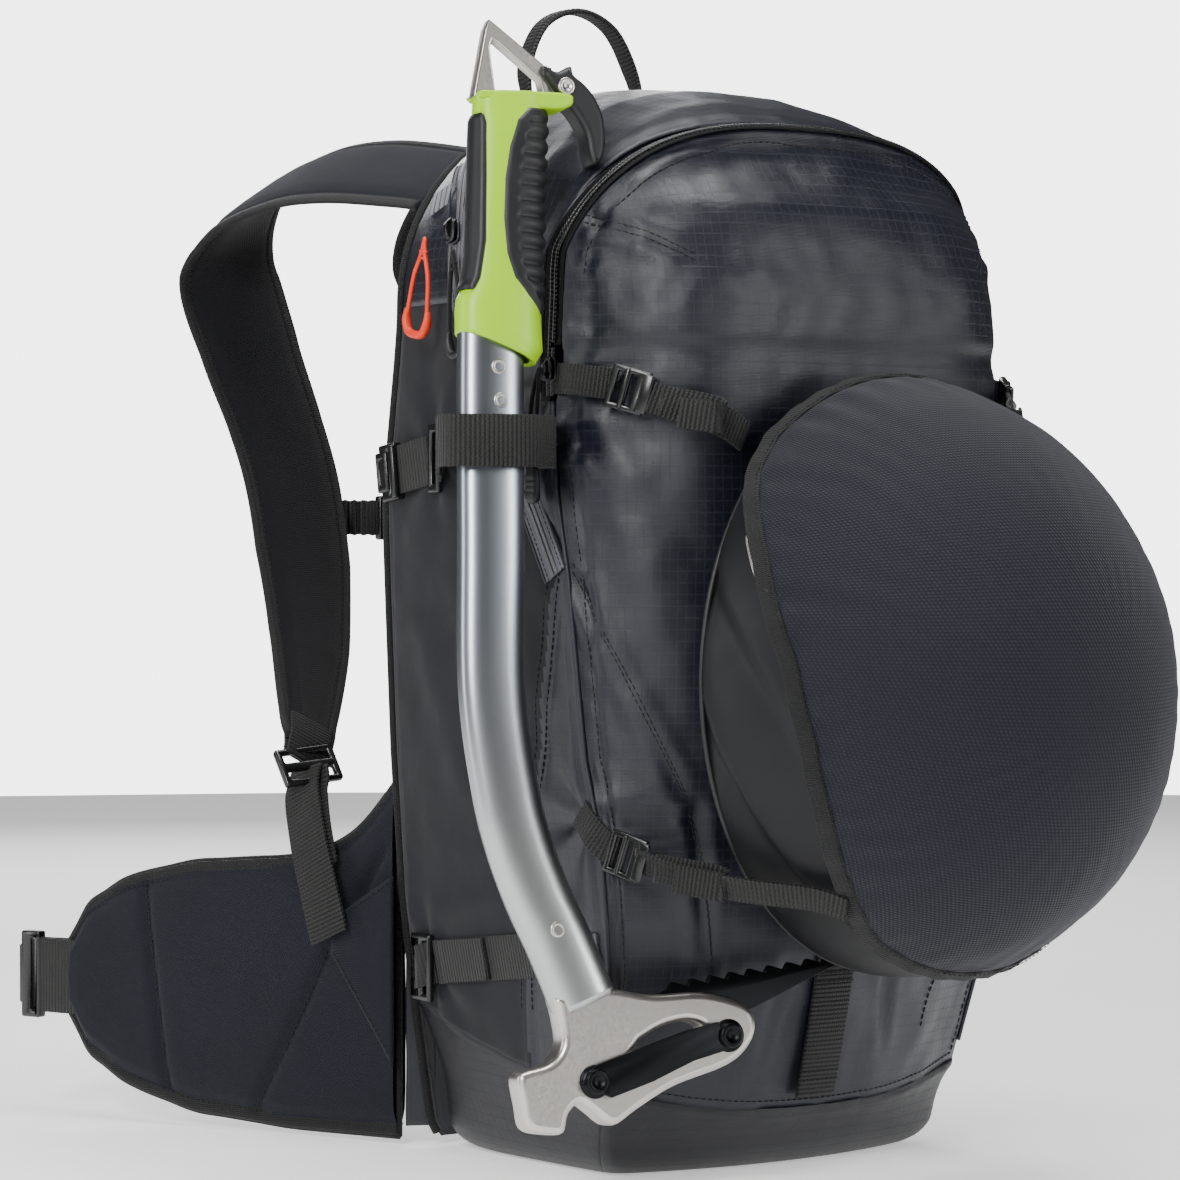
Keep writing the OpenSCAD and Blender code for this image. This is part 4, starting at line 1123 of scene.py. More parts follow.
def side_pulls():
    y, z = 32.33, 432.0
    n = left_normal(y, z)
    at = on_left(y, z)
    along = unit(on_left(28.8, 420.0) - at)
    across = unit(np.cross(n, -along))
    R = np.stack([across, n, -along], 1)
    declare(join("side_slider", slider_body(at + n * 2.6, R, 8, 12, 4.0, zip_metal)), "side_slider",
            "zip_metal",
            "side_zip_slider")
    orange_at, black_at = at + arr(-15.4, 7, -3), at + arr(-10.8, -9, -9)
    side_pull("orange_loop", "orange_pull", "orange_cord", "side_zip_pull_orange", orange_at, 10, 36, 16,
              orange, orange)
    side_pull("black_loop", "black_pull", "black_cord", "side_zip_pull_black", black_at, -3, 40, 10,
              black_cord, black_rubber)
    tab_a = [on_left(y, z, 1.7) for y, z in ((67, 447.5), (60, 450), (53, 452.4))]
    tab_b = [on_left(y, z, 1.6) for y, z in ((-56, 104), (-63, 104), (-70, 104))]
    declare(join("grey_tab_loops", [
        webbing("a", smooth(tab_a, 4), arr(0.45, 0, 1), 12, web_grey, 1.6, 1.5, 0.1),
        webbing("b", smooth(tab_b, 4), arr(-0.13, 0, 1), 20, web_grey, 1.6, 1.5, 0.1)]), "pack",
            "grey_webbing", "grey_tabs")


# ---- straps that carry the tool and the helmet ------------------------------------------
def tool_straps():
    P = smooth([(-126.8, -41, 333), (-134, -62, 333), (-153, -74.5, 333), (-172, -72, 333),
                (-187.5, -64, 333),
                (-189, -52, 333), (-182, -40, 332), (-152, 2, 330), (-131, 30, 328)], 8)
    outer = resample(P, 2.0)
    band = smooth([(-137, 20.5, 333.6), (-148.5, 4.4, 333.9), (-160, -11.6, 334.2)], 8)
    declare(join("upper_tool_webbing", [
        webbing("a", outer, Z, 23, web_black, 1.8, 2.0, 0.2),
        webbing("b", band + arr(-1.5, -1.2, -4), Z, 23.4, web_black, 1.4, 2.0, 0.1),
        webbing("c", [(-128.6, 41, 327), (-129.6, 52, 325), (-129.6, 63, 323), (-129.2, 69, 322)], Z, 23,
                web_black, 1.8),
        stitches("s", [(-151, -1.4, 321), (-151, -1.4, 343)] + arr(-1.2, -1.0, 0), thread, 2.6, 1.9, 0.5)]),
        "pack", "webbing", "upper_tool_strap")
    P = on_left(mix(57, -54, np.linspace(0, 1, 40)), mix(91, 104, np.linspace(0, 1, 40)), 1.6)
    tail = on_left(mix(50, 14, np.linspace(0, 1, 16)), mix(92, 96, np.linspace(0, 1, 16)), 3.6)
    declare(join("lower_tool_webbing", [
        webbing("a", P, arr(-0.13, 0, 1), 21, web_black, 1.8, 2.0, 0.2),
        webbing("b", tail, arr(-0.13, 0, 1), 20, web_black, 1.5, 2.0, 0.2, 4),
        webbing("c", smooth([(-113.6, 58, 91), (-115.8, 62, 90), (-117.6, 66, 88.6), (-116.6, 70.5, 87.6),
                             (-113, 71, 87.4),
                             (-112, 64, 88.5)], 4), Z, 20, web_black, 1.4),
        stitches("s", on_left(arr(14.0, 14.0), arr(87.0, 105.0), 4.7), thread, 2.6, 1.9, 0.5)]),
        "pack", "webbing", "lower_tool_strap")
    z = np.linspace(200, 34, 60)
    P = np.stack([-4 + 0 * z, face_y(-4 + 0 * z, z) - 2.6, z], 1)
    loops = [stitches("s", [(x, float(face_y(-4, h)) - 3.7, h) for x in (-15, 7)], thread, 2.6, 2.0, 0.5)
             for h in (190, 186, 92, 88, 46, 42)]
    declare(join("ski_webbing", [webbing("a", P, X, 22, web_black, 1.8, 2.0, 0.3)] + loops), "pack",
            "webbing", "ski_strap")


def rounded_plate(at, R, w, h, t, holes, mat, name="plate", corner=0.5):
    """A moulded buckle plate: w across, h up and t thick, with rectangular windows (x, z, w, h)."""
    xs = sorted({-w / 2, w / 2} | {v for x, z, ww, hh in holes for v in (x - ww / 2, x + ww / 2)})
    zs = sorted({-h / 2, h / 2} | {v for x, z, ww, hh in holes for v in (z - hh / 2, z + hh / 2)})
    bm = bmesh.new()
    grid = {(i, j): bm.verts.new(arr(x, -t / 2, z)) for i, x in enumerate(xs) for j, z in enumerate(zs)}
    for i in range(len(xs) - 1):
        for j in range(len(zs) - 1):
            mx, mz = (xs[i] + xs[i + 1]) / 2, (zs[j] + zs[j + 1]) / 2
            if not any(abs(mx - x) < ww / 2 and abs(mz - z) < hh / 2 for x, z, ww, hh in holes):
                bm.faces.new((grid[i, j], grid[i + 1, j], grid[i + 1, j + 1], grid[i, j + 1]))
    bmesh.ops.delete(bm, geom=[v for v in bm.verts if not v.link_faces], context="VERTS")
    out = bmesh.ops.extrude_face_region(bm, geom=list(bm.faces))
    far = [g for g in out["geom"] if isinstance(g, bmesh.types.BMVert)]
    bmesh.ops.translate(bm, verts=far, vec=(0, t, 0))
    bmesh.ops.recalc_face_normals(bm, faces=bm.faces)
    bmesh.ops.dissolve_limit(bm, angle_limit=0.02, verts=bm.verts, edges=bm.edges)
    M = Matrix([list(R[k] * MM) + [at[k] * MM] for k in range(3)] + [[0, 0, 0, 1]])
    bmesh.ops.transform(bm, matrix=M, verts=bm.verts)
    me = bpy.data.meshes.new(name)
    bm.to_mesh(me)
    bm.free()
    me.materials.append(mat)
    ob = new_object(name, me)
    round_edges(ob, corner, 3, 30, 40)
    return ob


def euler(rx, ry, rz):
    """The turn that OpenSCAD's rotate makes."""
    a, b, c = (math.radians(v) for v in (rx, ry, rz))
    Rx = np.array([[1, 0, 0], [0, math.cos(a), -math.sin(a)], [0, math.sin(a), math.cos(a)]])
    Ry = np.array([[math.cos(b), 0, math.sin(b)], [0, 1, 0], [-math.sin(b), 0, math.cos(b)]])
    Rz = np.array([[math.cos(c), -math.sin(c), 0], [math.sin(c), math.cos(c), 0], [0, 0, 1]])
    return Rz @ Ry @ Rx


def strap_hardware():
    side = np.stack([Y, -X, Z], 1)
    declare(rounded_plate(arr(-129.9, 35.6, 327.5), side, 8.6, 32, 3, [(0, 0, 2.8, 24.5)], buckle,
                          "slide_bar", 1.0),
            "pack", "buckle", "upper_strap_bar")
    R = euler(-8, 0, 0) @ side
    at = arr(-129.8, 70.8, 321.5)
    declare(join("upper_buckle", [
        rounded_plate(at, R, 13, 27, 5, [(-2.4, 0, 3.4, 21)], buckle, "a", 1.1),
        rounded_plate(at + arr(-1.6, 4, 0), R, 9, 19, 3.6, [(0.5, 0, 3.2, 12)], buckle, "b", 1.0),
        rounded_plate(at + arr(-2.6, -5.4, 0.4), R, 3.4, 25, 3, [], buckle, "c", 1.0)]), "pack", "buckle",
            "upper_strap_buckle")
    R = euler(0, 0, -4) @ side
    declare(rounded_plate(arr(-115.8, 66, 88), R, 17, 32, 3.6, [(-3.6, 0, 4.2, 25), (3.9, 0, 4.2, 25)],
                          buckle, "lower_ring", 1.3),
            "pack", "buckle", "lower_strap_ring")


HELMET_X, HELMET_Y, HELMET_Z, HELMET_C, RIM_Y = 110.0, 142.0, 134.0, 227.0, -134.0


def dome(f, s, off):
    """A point of the helmet: f degrees round the rim, s 0 at the rim and 1 at the crown."""
    f, s, off = np.broadcast_arrays(np.radians(f), np.asarray(s, float), np.asarray(off, float))
    r = np.sqrt(np.clip(1 - s * s, 0, 1))
    return np.stack([(HELMET_X + off) * r * np.cos(f), RIM_Y - (HELMET_Y + off) * s,
                     HELMET_C - 9 * s + (HELMET_Z + off) * r * np.sin(f)], -1)


def net_edge(f):
    """How far in from the rim the net's edge lies, round the helmet."""
    f = np.asarray(f, float) % 360
    f = np.where(f > 270, f - 360, f)
    f = np.where(f > 90, 180 - f, f)
    return np.interp(f, [-90, -58, -45, -25, -10, 5, 17, 26, 34, 42, 52, 90],
                     [0.42, 0.38, 0.42, 0.457, 0.452, 0.4, 0.3, 0.22, 0.13, 0.06, 0.03, 0.08])


upper_crease = table((90, -0.3), (157, 0), (164, 0.067), (171, 0.173), (178, 0.267), (185, 0.347),
                     (193, 0.407),
                     (201, 0.45), (215, 0.52), (270, 0.62))
lower_crease = table((90, -0.3), (183, 0), (190, 0.043), (199, 0.117), (209, 0.183), (221, 0.25),
                     (235, 0.31),
                     (250, 0.36), (270, 0.39))


def helmet():
    f, lat = np.linspace(0, 360, 181), np.linspace(-2, 89.7, 84)
    Fg, L = np.meshgrid(f, lat)
    s = np.sin(np.radians(L))
    low = 0.5 - 0.5 * np.sin(np.radians(Fg))
    turn = np.where(Fg > 270, Fg - 360, Fg)
    turn = np.where(turn < 90, 180 - turn, turn)
    off = -0.6 + 0 * s
    for at, depth, w in ((upper_crease(turn), 2.4, 0.02), (lower_crease(turn), 2.0, 0.01)):
        dent = depth * ramp(at - s, -w, w) * np.exp(-((at - s) / 0.16) ** 2 * (s < at))
        off = off - dent * ramp(turn, 140, 160)
    off -= 1.0 * low * np.exp(-((s - 0.02) / 0.02) ** 2)
    off -= 2.0 * ramp(-L, -1, 2)
    P = dome(Fg, np.maximum(s, 0), off)
    P[..., 1] += np.where(L < 0, -L * 0.8, 0)
    N = grid_normals(P)
    N[:, 0] = N[:, -1] = unit(N[:, 1] + N[:, -2])
    shell = shell_mesh("shell", P, 1.8, [helmet_matte, foam], N)
    rim = dome(np.arange(0, 360, 3.0), 0.0, -2.4) + arr(0, 0.6, 0)
    parts = [shell, sweep("rim", rim, Y, section_round(2.6, 8), [black_rubber], closed=True)]
    slot_f = arr(150, 151.5, 156.5, 160.5, 161.5)
    for g in (slot_f, 180 - slot_f):
        for s, off, sec, mat in ((arr(0.128, 0.118, 0.172, 0.222, 0.25), 0.2, section_round(1.9, 8), steel),
                                 (arr(0.16, 0.15, 0.2, 0.25, 0.27), 0.1, section_rect(7.5, 1.2),
                                  black_rubber)):
            slot = smooth(dome(g, s, off), 6)
            parts.append(sweep("slot", slot, unit(slot - arr(0, RIM_Y, HELMET_C)), sec, [mat]))
    declare(join("helmet_outer", parts), "pack", "helmet_shell", "helmet_shell")
    lat = np.linspace(1, 89.6, 40)
    Fg, L = np.meshgrid(np.linspace(360, 0, 97), lat)
    P = dome(Fg, np.sin(np.radians(L)), -14.0)
    channel = np.exp(-(np.abs(((Fg % 45) - 22.5)) / 5) ** 2) * ramp(L, 8, 20) * (1 - ramp(L, 60, 75))
    P -= grid_normals(P) * (5 * channel)[..., None]
    liner = shell_mesh("liner_in", P, -9.5, [foam])
    pads = []
    q = np.abs(np.linspace(-1, 1, 14))
    crown = -14.5 - 3.5 * (1 - np.maximum(q[None, :], q[:, None]) ** 6)
    for g in range(12, 372, 60):
        Fg, L = np.meshgrid(np.linspace(g + 34, g, 14), np.linspace(8, 34, 14))
        pads.append(shell_mesh("pad", dome(Fg, np.sin(np.radians(L)), crown), -2.0, [lining]))
    declare(join("helmet_inner", [liner] + pads), "pack", "helmet_liner", "helmet_liner")


def disc_grid(n):
    """A square grid mapped to a disc: the angle in degrees and the distance from its middle, 0 to 1."""
    q = np.linspace(-1, 1, n)
    A, B = np.meshgrid(q, q)
    r = np.maximum(np.abs(A), np.abs(B))
    small, big = np.minimum(np.abs(A), np.abs(B)), np.maximum(r, 1e-9)
    phi = np.where(np.abs(A) >= np.abs(B), small / big * math.pi / 4,
                   math.pi / 2 - small / big * math.pi / 4)
    phi = np.arctan2(np.sin(phi) * np.where(B < 0, -1, 1), np.cos(phi) * np.where(A < 0, -1, 1))
    return np.degrees(phi), r


def helmet_net():
    f, r = disc_grid(151)
    lat0 = np.degrees(np.arcsin(net_edge(f)))
    L = mix(90, lat0, r)
    P = dome(f, np.sin(np.radians(L)), 2.6)
    N = unit((P - arr(0, RIM_Y + 20, HELMET_C)) / arr(HELMET_X, HELMET_Y, HELMET_Z) ** 2)
    reach = (L - lat0) * 2.3
    around = np.radians(f)
    gather = np.sin(around * 44 + 4.0 * noise3(P, 50, 1)) * (0.35 + 0.9 * noise3(P * arr(1, 1, 2.2), 60, 2))
    left = ramp(np.abs(np.cos(around)), 0.1, 0.8)
    gather *= 2.5 * (np.exp(-reach / 17) + 0.10) * mix(0.45, 1.0, left) * ramp(reach, 0, 5)
    creases = 0.8 * noise3(P * arr(1, 1, 0.45), 22, 5) * mix(0.4, 1, np.exp(-reach / 45))
    h = (gather + creases + 1.4 * noise3(P, 60, 6)) * ramp(reach, 0, 6)
    P = P + N * h[..., None]
    arc = (90 - L) / 90 * 205
    across, up = arc * np.cos(around), arc * np.sin(around)
    net = shell_mesh("helmet_net_cloth", P, 0.7, [net_mat], N, np.stack([across, up], -1))
    declare(net, "pack", "net", "helmet_net")
    area = sum(p.area for p in net.data.polygons) / 2
    g = np.arange(0, 360, 2.0)
    edge = dome(g, np.maximum(0.004, net_edge(g) - 0.02), 3.0)
    n = unit((edge - arr(0, RIM_Y + 20, HELMET_C)) / arr(HELMET_X, HELMET_Y, HELMET_Z) ** 2)
    W = np.cross(n, tangents(edge, True))
    g2 = np.arange(0, 360, 1.0)
    row = dome(g2, np.maximum(0.006, net_edge(g2) + 0.002), 4.0)
    frill = 0.4 * np.sin(np.radians(g) * 46)
    declare(join("net_edge_binding", [
        sweep("band", edge + n * frill[:, None], W, section_rect(8.5, 1.8, 0.8), [binding], closed=True),
        stitches("s", row, thread, 2.8, 2.0, 0.5, True)]), "pack", "webbing", "net_binding")
    return net, (float(np.ptp(across)) * MM, float(np.ptp(up)) * MM), area


UPPER_CORNER, LOWER_CORNER = arr(-68, -116, 334), arr(-74.5, -191.5, 130)


# each net strap's points, steps between them, width direction, width, thickness, sway and seed
NET_STRAPS = (
    (((-124.8, -46, 362), (-124.2, -60, 361.5), (-121.6, -72, 360), (-117.6, -81.5, 358.6)), 6,
     (0.1, -0.15, 1), 14, 1.6, 0.25, 0),
    (((-110.6, -94.5, 354), (-104, -104.5, 350), (-95, -114.5, 345.6), (-84, -119.5, 341.6),
      UPPER_CORNER + arr(-3, -2.5, 1)), 6, (0.2, 0, 1), 14, 1.6, 0.25, 1),
    (((-119.8, -62, 168), (-122, -72, 161), (-120.8, -80, 154.5), (-117.8, -86, 151.6)), 6,
     (0.1, -0.25, 1), 14, 1.6, 0.25, 2),
    (((-113.8, -95, 148), (-108.5, -110, 143.4), (-102, -128, 139.4), (-95.5, -152, 136.8),
      LOWER_CORNER + arr(-7.6, 13, 4.4), LOWER_CORNER), 6, (-0.3, -0.4, 0.85), 12, 1.6, 0.25, 3),
    (((-106, -102, 350.6), (-100, -108.5, 349.4), (-93, -114.5, 347.8), (-88, -120.5, 345.4),
      (-90, -124, 343),
      (-97, -119, 344.2), (-103, -112, 345.4)), 5, (0.2, 0, 1), 13.6, 1.5, 0.2, 8),
    (((-110.5, -104.5, 144.6), (-107, -117, 143.6), (-102, -129, 142), (-98.5, -136.4, 140.4),
      (-101, -139.4, 138), (-106, -128, 139.4), (-110, -117, 140.6)), 5, (0.1, -0.1, 1), 12.6, 1.5, 0.2, 9))


def net_straps():
    made = []
    for s in (1, -1):
        m = arr(s, 1, 1)
        for k, (points, n, W, w, t, sway, seed) in enumerate(NET_STRAPS):
            P = smooth(points, n) * m
            made.append(webbing("r%d" % k, P, arr(*W) * m, w, web_black, t, 2.0, sway, seed))
    declare(join("net_webbing", made), "pack", "webbing", "net_straps")
    locks = []
    for s in (1, -1):
        m = arr(s, 1, 1)
        for at, turn in ((arr(-113.5, -89, 356), (0, 16, -56)), (arr(-116, -90.5, 149.5), (0, 18, -66))):
            R = euler(*turn)
            along, across = R @ X, R @ Z
            out = np.cross(across, along)
            if out @ (at - arr(0, 0, at[2])) < 0:
                out = -out
            F = np.diag(m) @ np.stack([along, out, across], 1)
            c = at * m
            slots = [(-4.6, 0, 3.4, 14.4), (1.4, 0, 3.0, 14.4)]
            locks += [rounded_plate(c, F, 18.4, 19.6, 3.4, slots, buckle, "lock", 0.9),
                      rounded_plate(c + F @ arr(8.4, 1.6, 0), F, 5.4, 17.6, 2.2, [], buckle, "lip", 0.9),
                      rounded_plate(c + F @ arr(-1.6, 1.5, 0), F, 2.2, 18.6, 2.6, [], buckle, "bar", 0.8)]
    declare(join("net_locks", locks), "pack", "buckle", "net_ladder_locks")


def haul_handle():
    P = smooth([(-43, 78, 497), (-42, 84, 519), (-30, 86, 541), (-9, 86, 549), (12, 86, 541), (24, 84, 519),
                (25, 78, 499.6)], 8)
    k = 1 - 0.42 * (1 - ramp(np.minimum(np.linspace(0, 1, len(P)), np.linspace(1, 0, len(P))), 0.02, 0.2))
    Q = resample(P, 2.0)
    k = np.interp(np.linspace(0, 1, len(Q)), np.linspace(0, 1, len(P)), k)
    W = arr(0, 1, 0.02)
    core = sweep("core", Q, W, section_rect(11, 2.6, 1.1), [web_black],
                 scale=np.stack([k, np.ones(len(k))], 1))
    above = Q + unit(Q - arr(-9, 86, 515)) * 1.3
    rows = [stitches("s", above + arr(0, 3.0 * s, 0), thread, 3.0, 2.2, 0.45) for s in (-1, 1)]
    declare(join("haul_webbing", [core] + rows), "haul_handle", "webbing", "haul_loop")


# ---- the ice tool ---------------------------------------------------------------
TOOL_AT, TOOL_TURN = arr(-184, -84, 90), (-6.9, 2.6, -13.5)


def tool_space(P):
    return np.asarray(P, float) @ euler(*TOOL_TURN).T + TOOL_AT


def lathe(at, axis, profile, mat, n=28, name="turned"):
    """A turned piece: profile is (distance along axis, radius)."""
    axis = unit(axis)
    a = unit(np.cross(axis, arr(0.3, 0.2, 0.9)))
    b = np.cross(axis, a)
    t = np.arange(n) * 2 * math.pi / n
    V = [np.asarray(at, float) + axis * d + r * (math.cos(q) * a + math.sin(q) * b)
         for d, r in profile for q in t]
    F = [(i * n + k, i * n + (k + 1) % n, (i + 1) * n + (k + 1) % n, (i + 1) * n + k)
         for i in range(len(profile) - 1) for k in range(n)]
    F += [tuple(range(n - 1, -1, -1)), tuple((len(profile) - 1) * n + k for k in range(n))]
    ob = add_mesh(name, V, F, None, [mat])
    sharp_by_angle(ob, 38)
    return ob


def plate(name, outline, mat, thick, bevel, holes=(), y=0.0, soft=4):
    """A flat part of the ice tool with rounded edges, from its outline in the tool's own plane."""
    cu = bpy.data.curves.new(name, "CURVE")
    cu.dimensions, cu.fill_mode, cu.resolution_u = "2D", "BOTH", 6
    cu.extrude, cu.bevel_depth, cu.offset, cu.bevel_resolution = thick / 2 - bevel, bevel, -bevel, 3
    for loop in (outline,) + tuple(holes):
        pts = smooth(np.vstack([loop, loop[:1]]), soft)[:-1]
        sp = cu.splines.new("POLY")
        sp.points.add(len(pts) - 1)
        sp.use_cyclic_u = True
        for q, (x, z) in zip(sp.points, pts):
            q.co = (x, z, 0, 1)
    ob = bpy.data.objects.new(name, cu)
    bpy.context.scene.collection.objects.link(ob)
    me = bpy.data.meshes.new_from_object(ob.evaluated_get(bpy.context.evaluated_depsgraph_get()))
    bpy.data.objects.remove(ob)
    co = np.array([v.co for v in me.vertices])
    faces = [tuple(p.vertices) for p in me.polygons]
    P = tool_space(np.stack([co[:, 0], y - co[:, 2], co[:, 1]], 1))
    made = add_mesh(name, P, faces, co[:, :2], [mat])
    bpy.data.meshes.remove(me)
    made.data.set_sharp_from_angle(angle=math.radians(50))
    return made


handle_left = table((280, -15.6), (292, -15.8), (300, -15.2), (312, -12.0), (330, -9.6), (352, -8.8),
                    (374, -8.0),
                    (386, -7.6), (402, -7))
handle_right = table((280, 20), (288, 24.2), (300, 23.6), (330, 24), (350, 24.6), (371, 25.4), (392, 26.4),
                     (402, 27))


def handle_point(z, phi, out=0.0):
    """A point on the tool's handle: phi 0 at the trigger side, 90 towards the front face."""
    z, phi, out = np.broadcast_arrays(np.asarray(z, float), np.radians(phi), np.asarray(out, float))
    lo, hi = handle_left(z), handle_right(z)
    a, b = (hi - lo) / 2 + out, 11.4 - 2.2 * ramp(z, 380, 402) + out
    p = 2.6
    r = (np.abs(np.cos(phi) / a) ** p + np.abs(np.sin(phi) / b) ** p) ** (-1 / p)
    x = (lo + hi) / 2 + r * np.cos(phi)
    skew = (1 - ramp(z, 281, 330)) * (-0.36 * (x - 17)) + ramp(z, 370, 402) * 0.06 * x
    return np.stack([x, -r * np.sin(phi), z + skew], -1)


def handle_pad(edge, lo, hi, side, rise, ribs):
    """A rubber pad set into the handle, wrapped round its side from the front face to the back."""
    along = np.concatenate([[lo, lo + 0.4, lo + 1], np.linspace(lo + 2, hi - 2, 150),
                            [hi - 1, hi - 0.4, hi]])
    z, q = np.meshgrid(along, np.linspace(-1, 1, 46), indexing="ij")
    c = (handle_left(z) + handle_right(z)) / 2
    a = (handle_right(z) - handle_left(z)) / 2
    k = np.clip((edge(z) - c) / a * side, -0.999, 0.999)
    reach = np.degrees(np.arctan2((1 - np.abs(k) ** 2.6) ** (1 / 2.6) * 11.4, k * a))
    phi = q * reach * (1 if side > 0 else -1) + (0 if side > 0 else 180)
    d = np.minimum(np.minimum(z - lo, hi - z), (1 - np.abs(q)) * 18)
    groove = 0.5 + 0.5 * np.cos((z - lo) * 2 * math.pi / 7.15)
    out = rise * ramp(d, 0, 2.2) - 0.35
    if ribs:
        out = out + 0.7 * ramp(d, 2, 6)
        out -= 1.25 * groove ** 1.5 * ramp(d, 3, 8) * (1 - ramp(np.abs(q), 0.62, 0.8))
    P = tool_space(handle_point(z, phi, out))
    return shell_mesh("pad", P[:, ::-1], 1.2, [black_rubber])


# turned parts, as (height, radius)
SCREW_PROFILE = ((-1, 3.6), (0.2, 3.6), (0.7, 3.3), (0.8, 2.1), (0.2, 1.6), (0.15, 0.1))
PIN_PROFILE = ((-2, 4.0), (0.8, 4.0), (1.2, 3.6), (1.2, 2.2), (0.5, 1.9), (0.5, 0.1))
BOLT_PROFILE = ((-1.5, 7.4), (0.6, 7.4), (1.2, 6.8), (1.2, 5.6), (3.6, 5.4), (4.2, 4.9), (4.2, 3.0),
                (3.0, 2.5),
                (2.9, 0.1))
NUT_PROFILE = ((-1.5, 7.0), (0.9, 7.0), (1.5, 6.3), (1.5, 0.1))


def ice_tool():
    route = arr((43, 0, -2), (31, 0, 25), (21, 0, 45), (12, 0, 68), (6, 0, 92), (0, 0, 136), (0, 0, 200),
                (0, 0, 260), (0.4, 0, 298))
    P = resample(smooth(route, 8), 3.0)
    R = euler(*TOOL_TURN)
    shaft = sweep("shaft", tool_space(P), R @ X, round_rect(30.4, 18, power=2.5), [anodised])
    out = -(R @ Y)
    screws = []
    for x, z in ((1.5, 262), (0.5, 277), (27, 30)):
        c = tool_space((x, -8.4, z))
        screws.append(lathe(c, out, SCREW_PROFILE, steel, 20))
    declare(join("tool_tube", [shaft] + screws), "pack", "anodised_shaft", "tool_shaft")
    along = np.concatenate([[281.4, 281], np.linspace(281.2, 401, 90), [401.6, 401.2]])
    z, phi = np.meshgrid(along, np.linspace(0, 360, 81), indexing="ij")
    inset = np.zeros(z.shape)
    inset[0], inset[-1], inset[1], inset[-2] = -2.6, -3.0, -0.8, -0.9
    body = shell_mesh("body", tool_space(handle_point(z, phi, inset))[:, ::-1], 1.0, [green])
    lid = plate("lid", [(-6, 398), (26, 399), (31, 402.4), (20, 402.4), (-6, 401)], green, 16, 0.8)
    lip = plate("lip", [(16, 402.6), (15, 394.4), (24, 395.2), (31, 395.6), (36.4, 397.4), (38, 400),
                        (35.4, 403.2)], green, 17, 1.6)
    declare(join("tool_handle_body", [body, lid, lip]), "pack", "green_handle", "tool_handle")
    grip_edge = table((302, 22.6), (309.2, 13.6), (316.3, 6.8), (327.7, 2.7), (343, 1.2), (361, 1.9),
                      (376, 4.4), (388, 8.8), (395, 17))
    left_edge = table((306, -11), (314, -8.4), (333, -5.8), (363, -5.2), (386, -5.0), (392, -6.2))
    pads = [handle_pad(grip_edge, 302.4, 394.6, 1, 1.2, True),
            handle_pad(left_edge, 306, 391, -1, 0.7, False)]
    declare(join("tool_grip_ribs", pads), "pack", "black_rubber", "tool_grip")
    spike = [(-8.6, 399), (-2.8, 430), (-0.8, 434.8), (1.8, 433), (25, 416.8), (33, 408), (33, 401.5)]
    eye = [(25.0, 404.0), (2.0, 402.6), (-0.6, 422), (0.6, 425.6), (3.0, 424.6), (23.6, 409.4)]
    declare(plate("tool_spike_tip", spike, steel, 7.0, 0.9, [eye], soft=1), "pack", "satin_steel",
            "tool_spike")
    pin = tool_space((34.8, -6.9, 406.6))
    claw = plate("claw", [(25, 411), (25, 415.8), (31, 413.4), (37.8, 416.6), (39.4, 412.6), (45, 408.6),
                          (49.6, 403.4), (53.6, 395), (54.8, 383), (53, 375), (48.6, 372.4), (46.4, 377),
                          (44.6, 386), (40, 394), (34.6, 399.6), (30, 405)], black_rubber, 13.6, 3.0)
    rest = join("tool_trigger_rest", [claw, lathe(pin, out, PIN_PROFILE, steel, 24)])
    declare(rest, "pack", "black_plastic", "tool_trigger")
    head = [(26.5, 0), (40, 4.5), (57, 4), (74, 2), (98, 3), (118, -2), (124, -10), (121, -20), (110, -29),
            (84, -38), (66, -48), (54, -55), (44, -49), (38, -45.5), (33, -50), (30.5, -58), (22, -58.5),
            (13.5, -56), (11, -46), (9, -35), (12, -31.5), (24, -28), (30, -20), (29, -9)]
    hole = [(67, -18), (78, -12), (90, -9.5), (98, -12), (97, -18.5), (86, -24), (72, -31), (62, -33),
            (61, -27)]
    declare(plate("tool_head_forging", head, steel, 14.5, 3.2, [hole]), "pack", "satin_steel", "tool_head")
    for node, name, width, segments in (("tool_pick", "tool_pick_blade", 0.7, 2),
                                        ("tool_spacer", "tool_link", 0.6, 3)):
        declare(detail_copy(node, name, dark_steel, width, segments), "pack", "black_steel", node)
    bolts = []
    for x, z in ((45, -36), (110, -16)):
        c = tool_space((x, -7.0, z))
        bolts.append(lathe(c, out, BOLT_PROFILE, dark_steel, 30))
        bolts.append(lathe(tool_space((x, 7.0, z)), -out, NUT_PROFILE, dark_steel, 30))
    declare(join("tool_bolt_heads", bolts), "pack", "black_steel", "tool_bolts")


main_zip()
main_zip_pulls()
side_zip()
side_pulls()
tool_straps()
strap_hardware()
helmet()
net_piece, net_flat, net_area = helmet_net()
net_straps()
haul_handle()
ice_tool()


# ---- harness ----------------------------------------------------------------------
STRAP_ROUTE = arr((-66, 103, 463), (-66, 130, 468), (-67, 190, 475), (-68, 240, 474), (-69, 286, 462),
                  (-68, 309, 432),
                  (-66, 292, 389), (-64, 272, 352), (-65, 254, 320), (-72, 233, 281), (-85, 208, 240),
                  (-106, 178, 203),
                  (-116, 163, 190))
STRAP_SIZES = arr(58, 60, 62, 62, 62, 60, 57, 55, 55, 54, 46, 33, 26)
STRAP_ROLLS = arr(28, 30, 32, 33, 32, 29, 22, 15, 9, 4, -2, -8, -16)


def pad_profile(d, full):
    """Half thickness of a bound and stitched pad at a distance from its edge."""
    return np.interp(d, [0, 0.5, 2.2, 4.8, 5.7, 7.2, 12, 22],
                     [0.4, 1.5, 2.2, 2.2, 1.5, 2.6, full * 0.86, full])


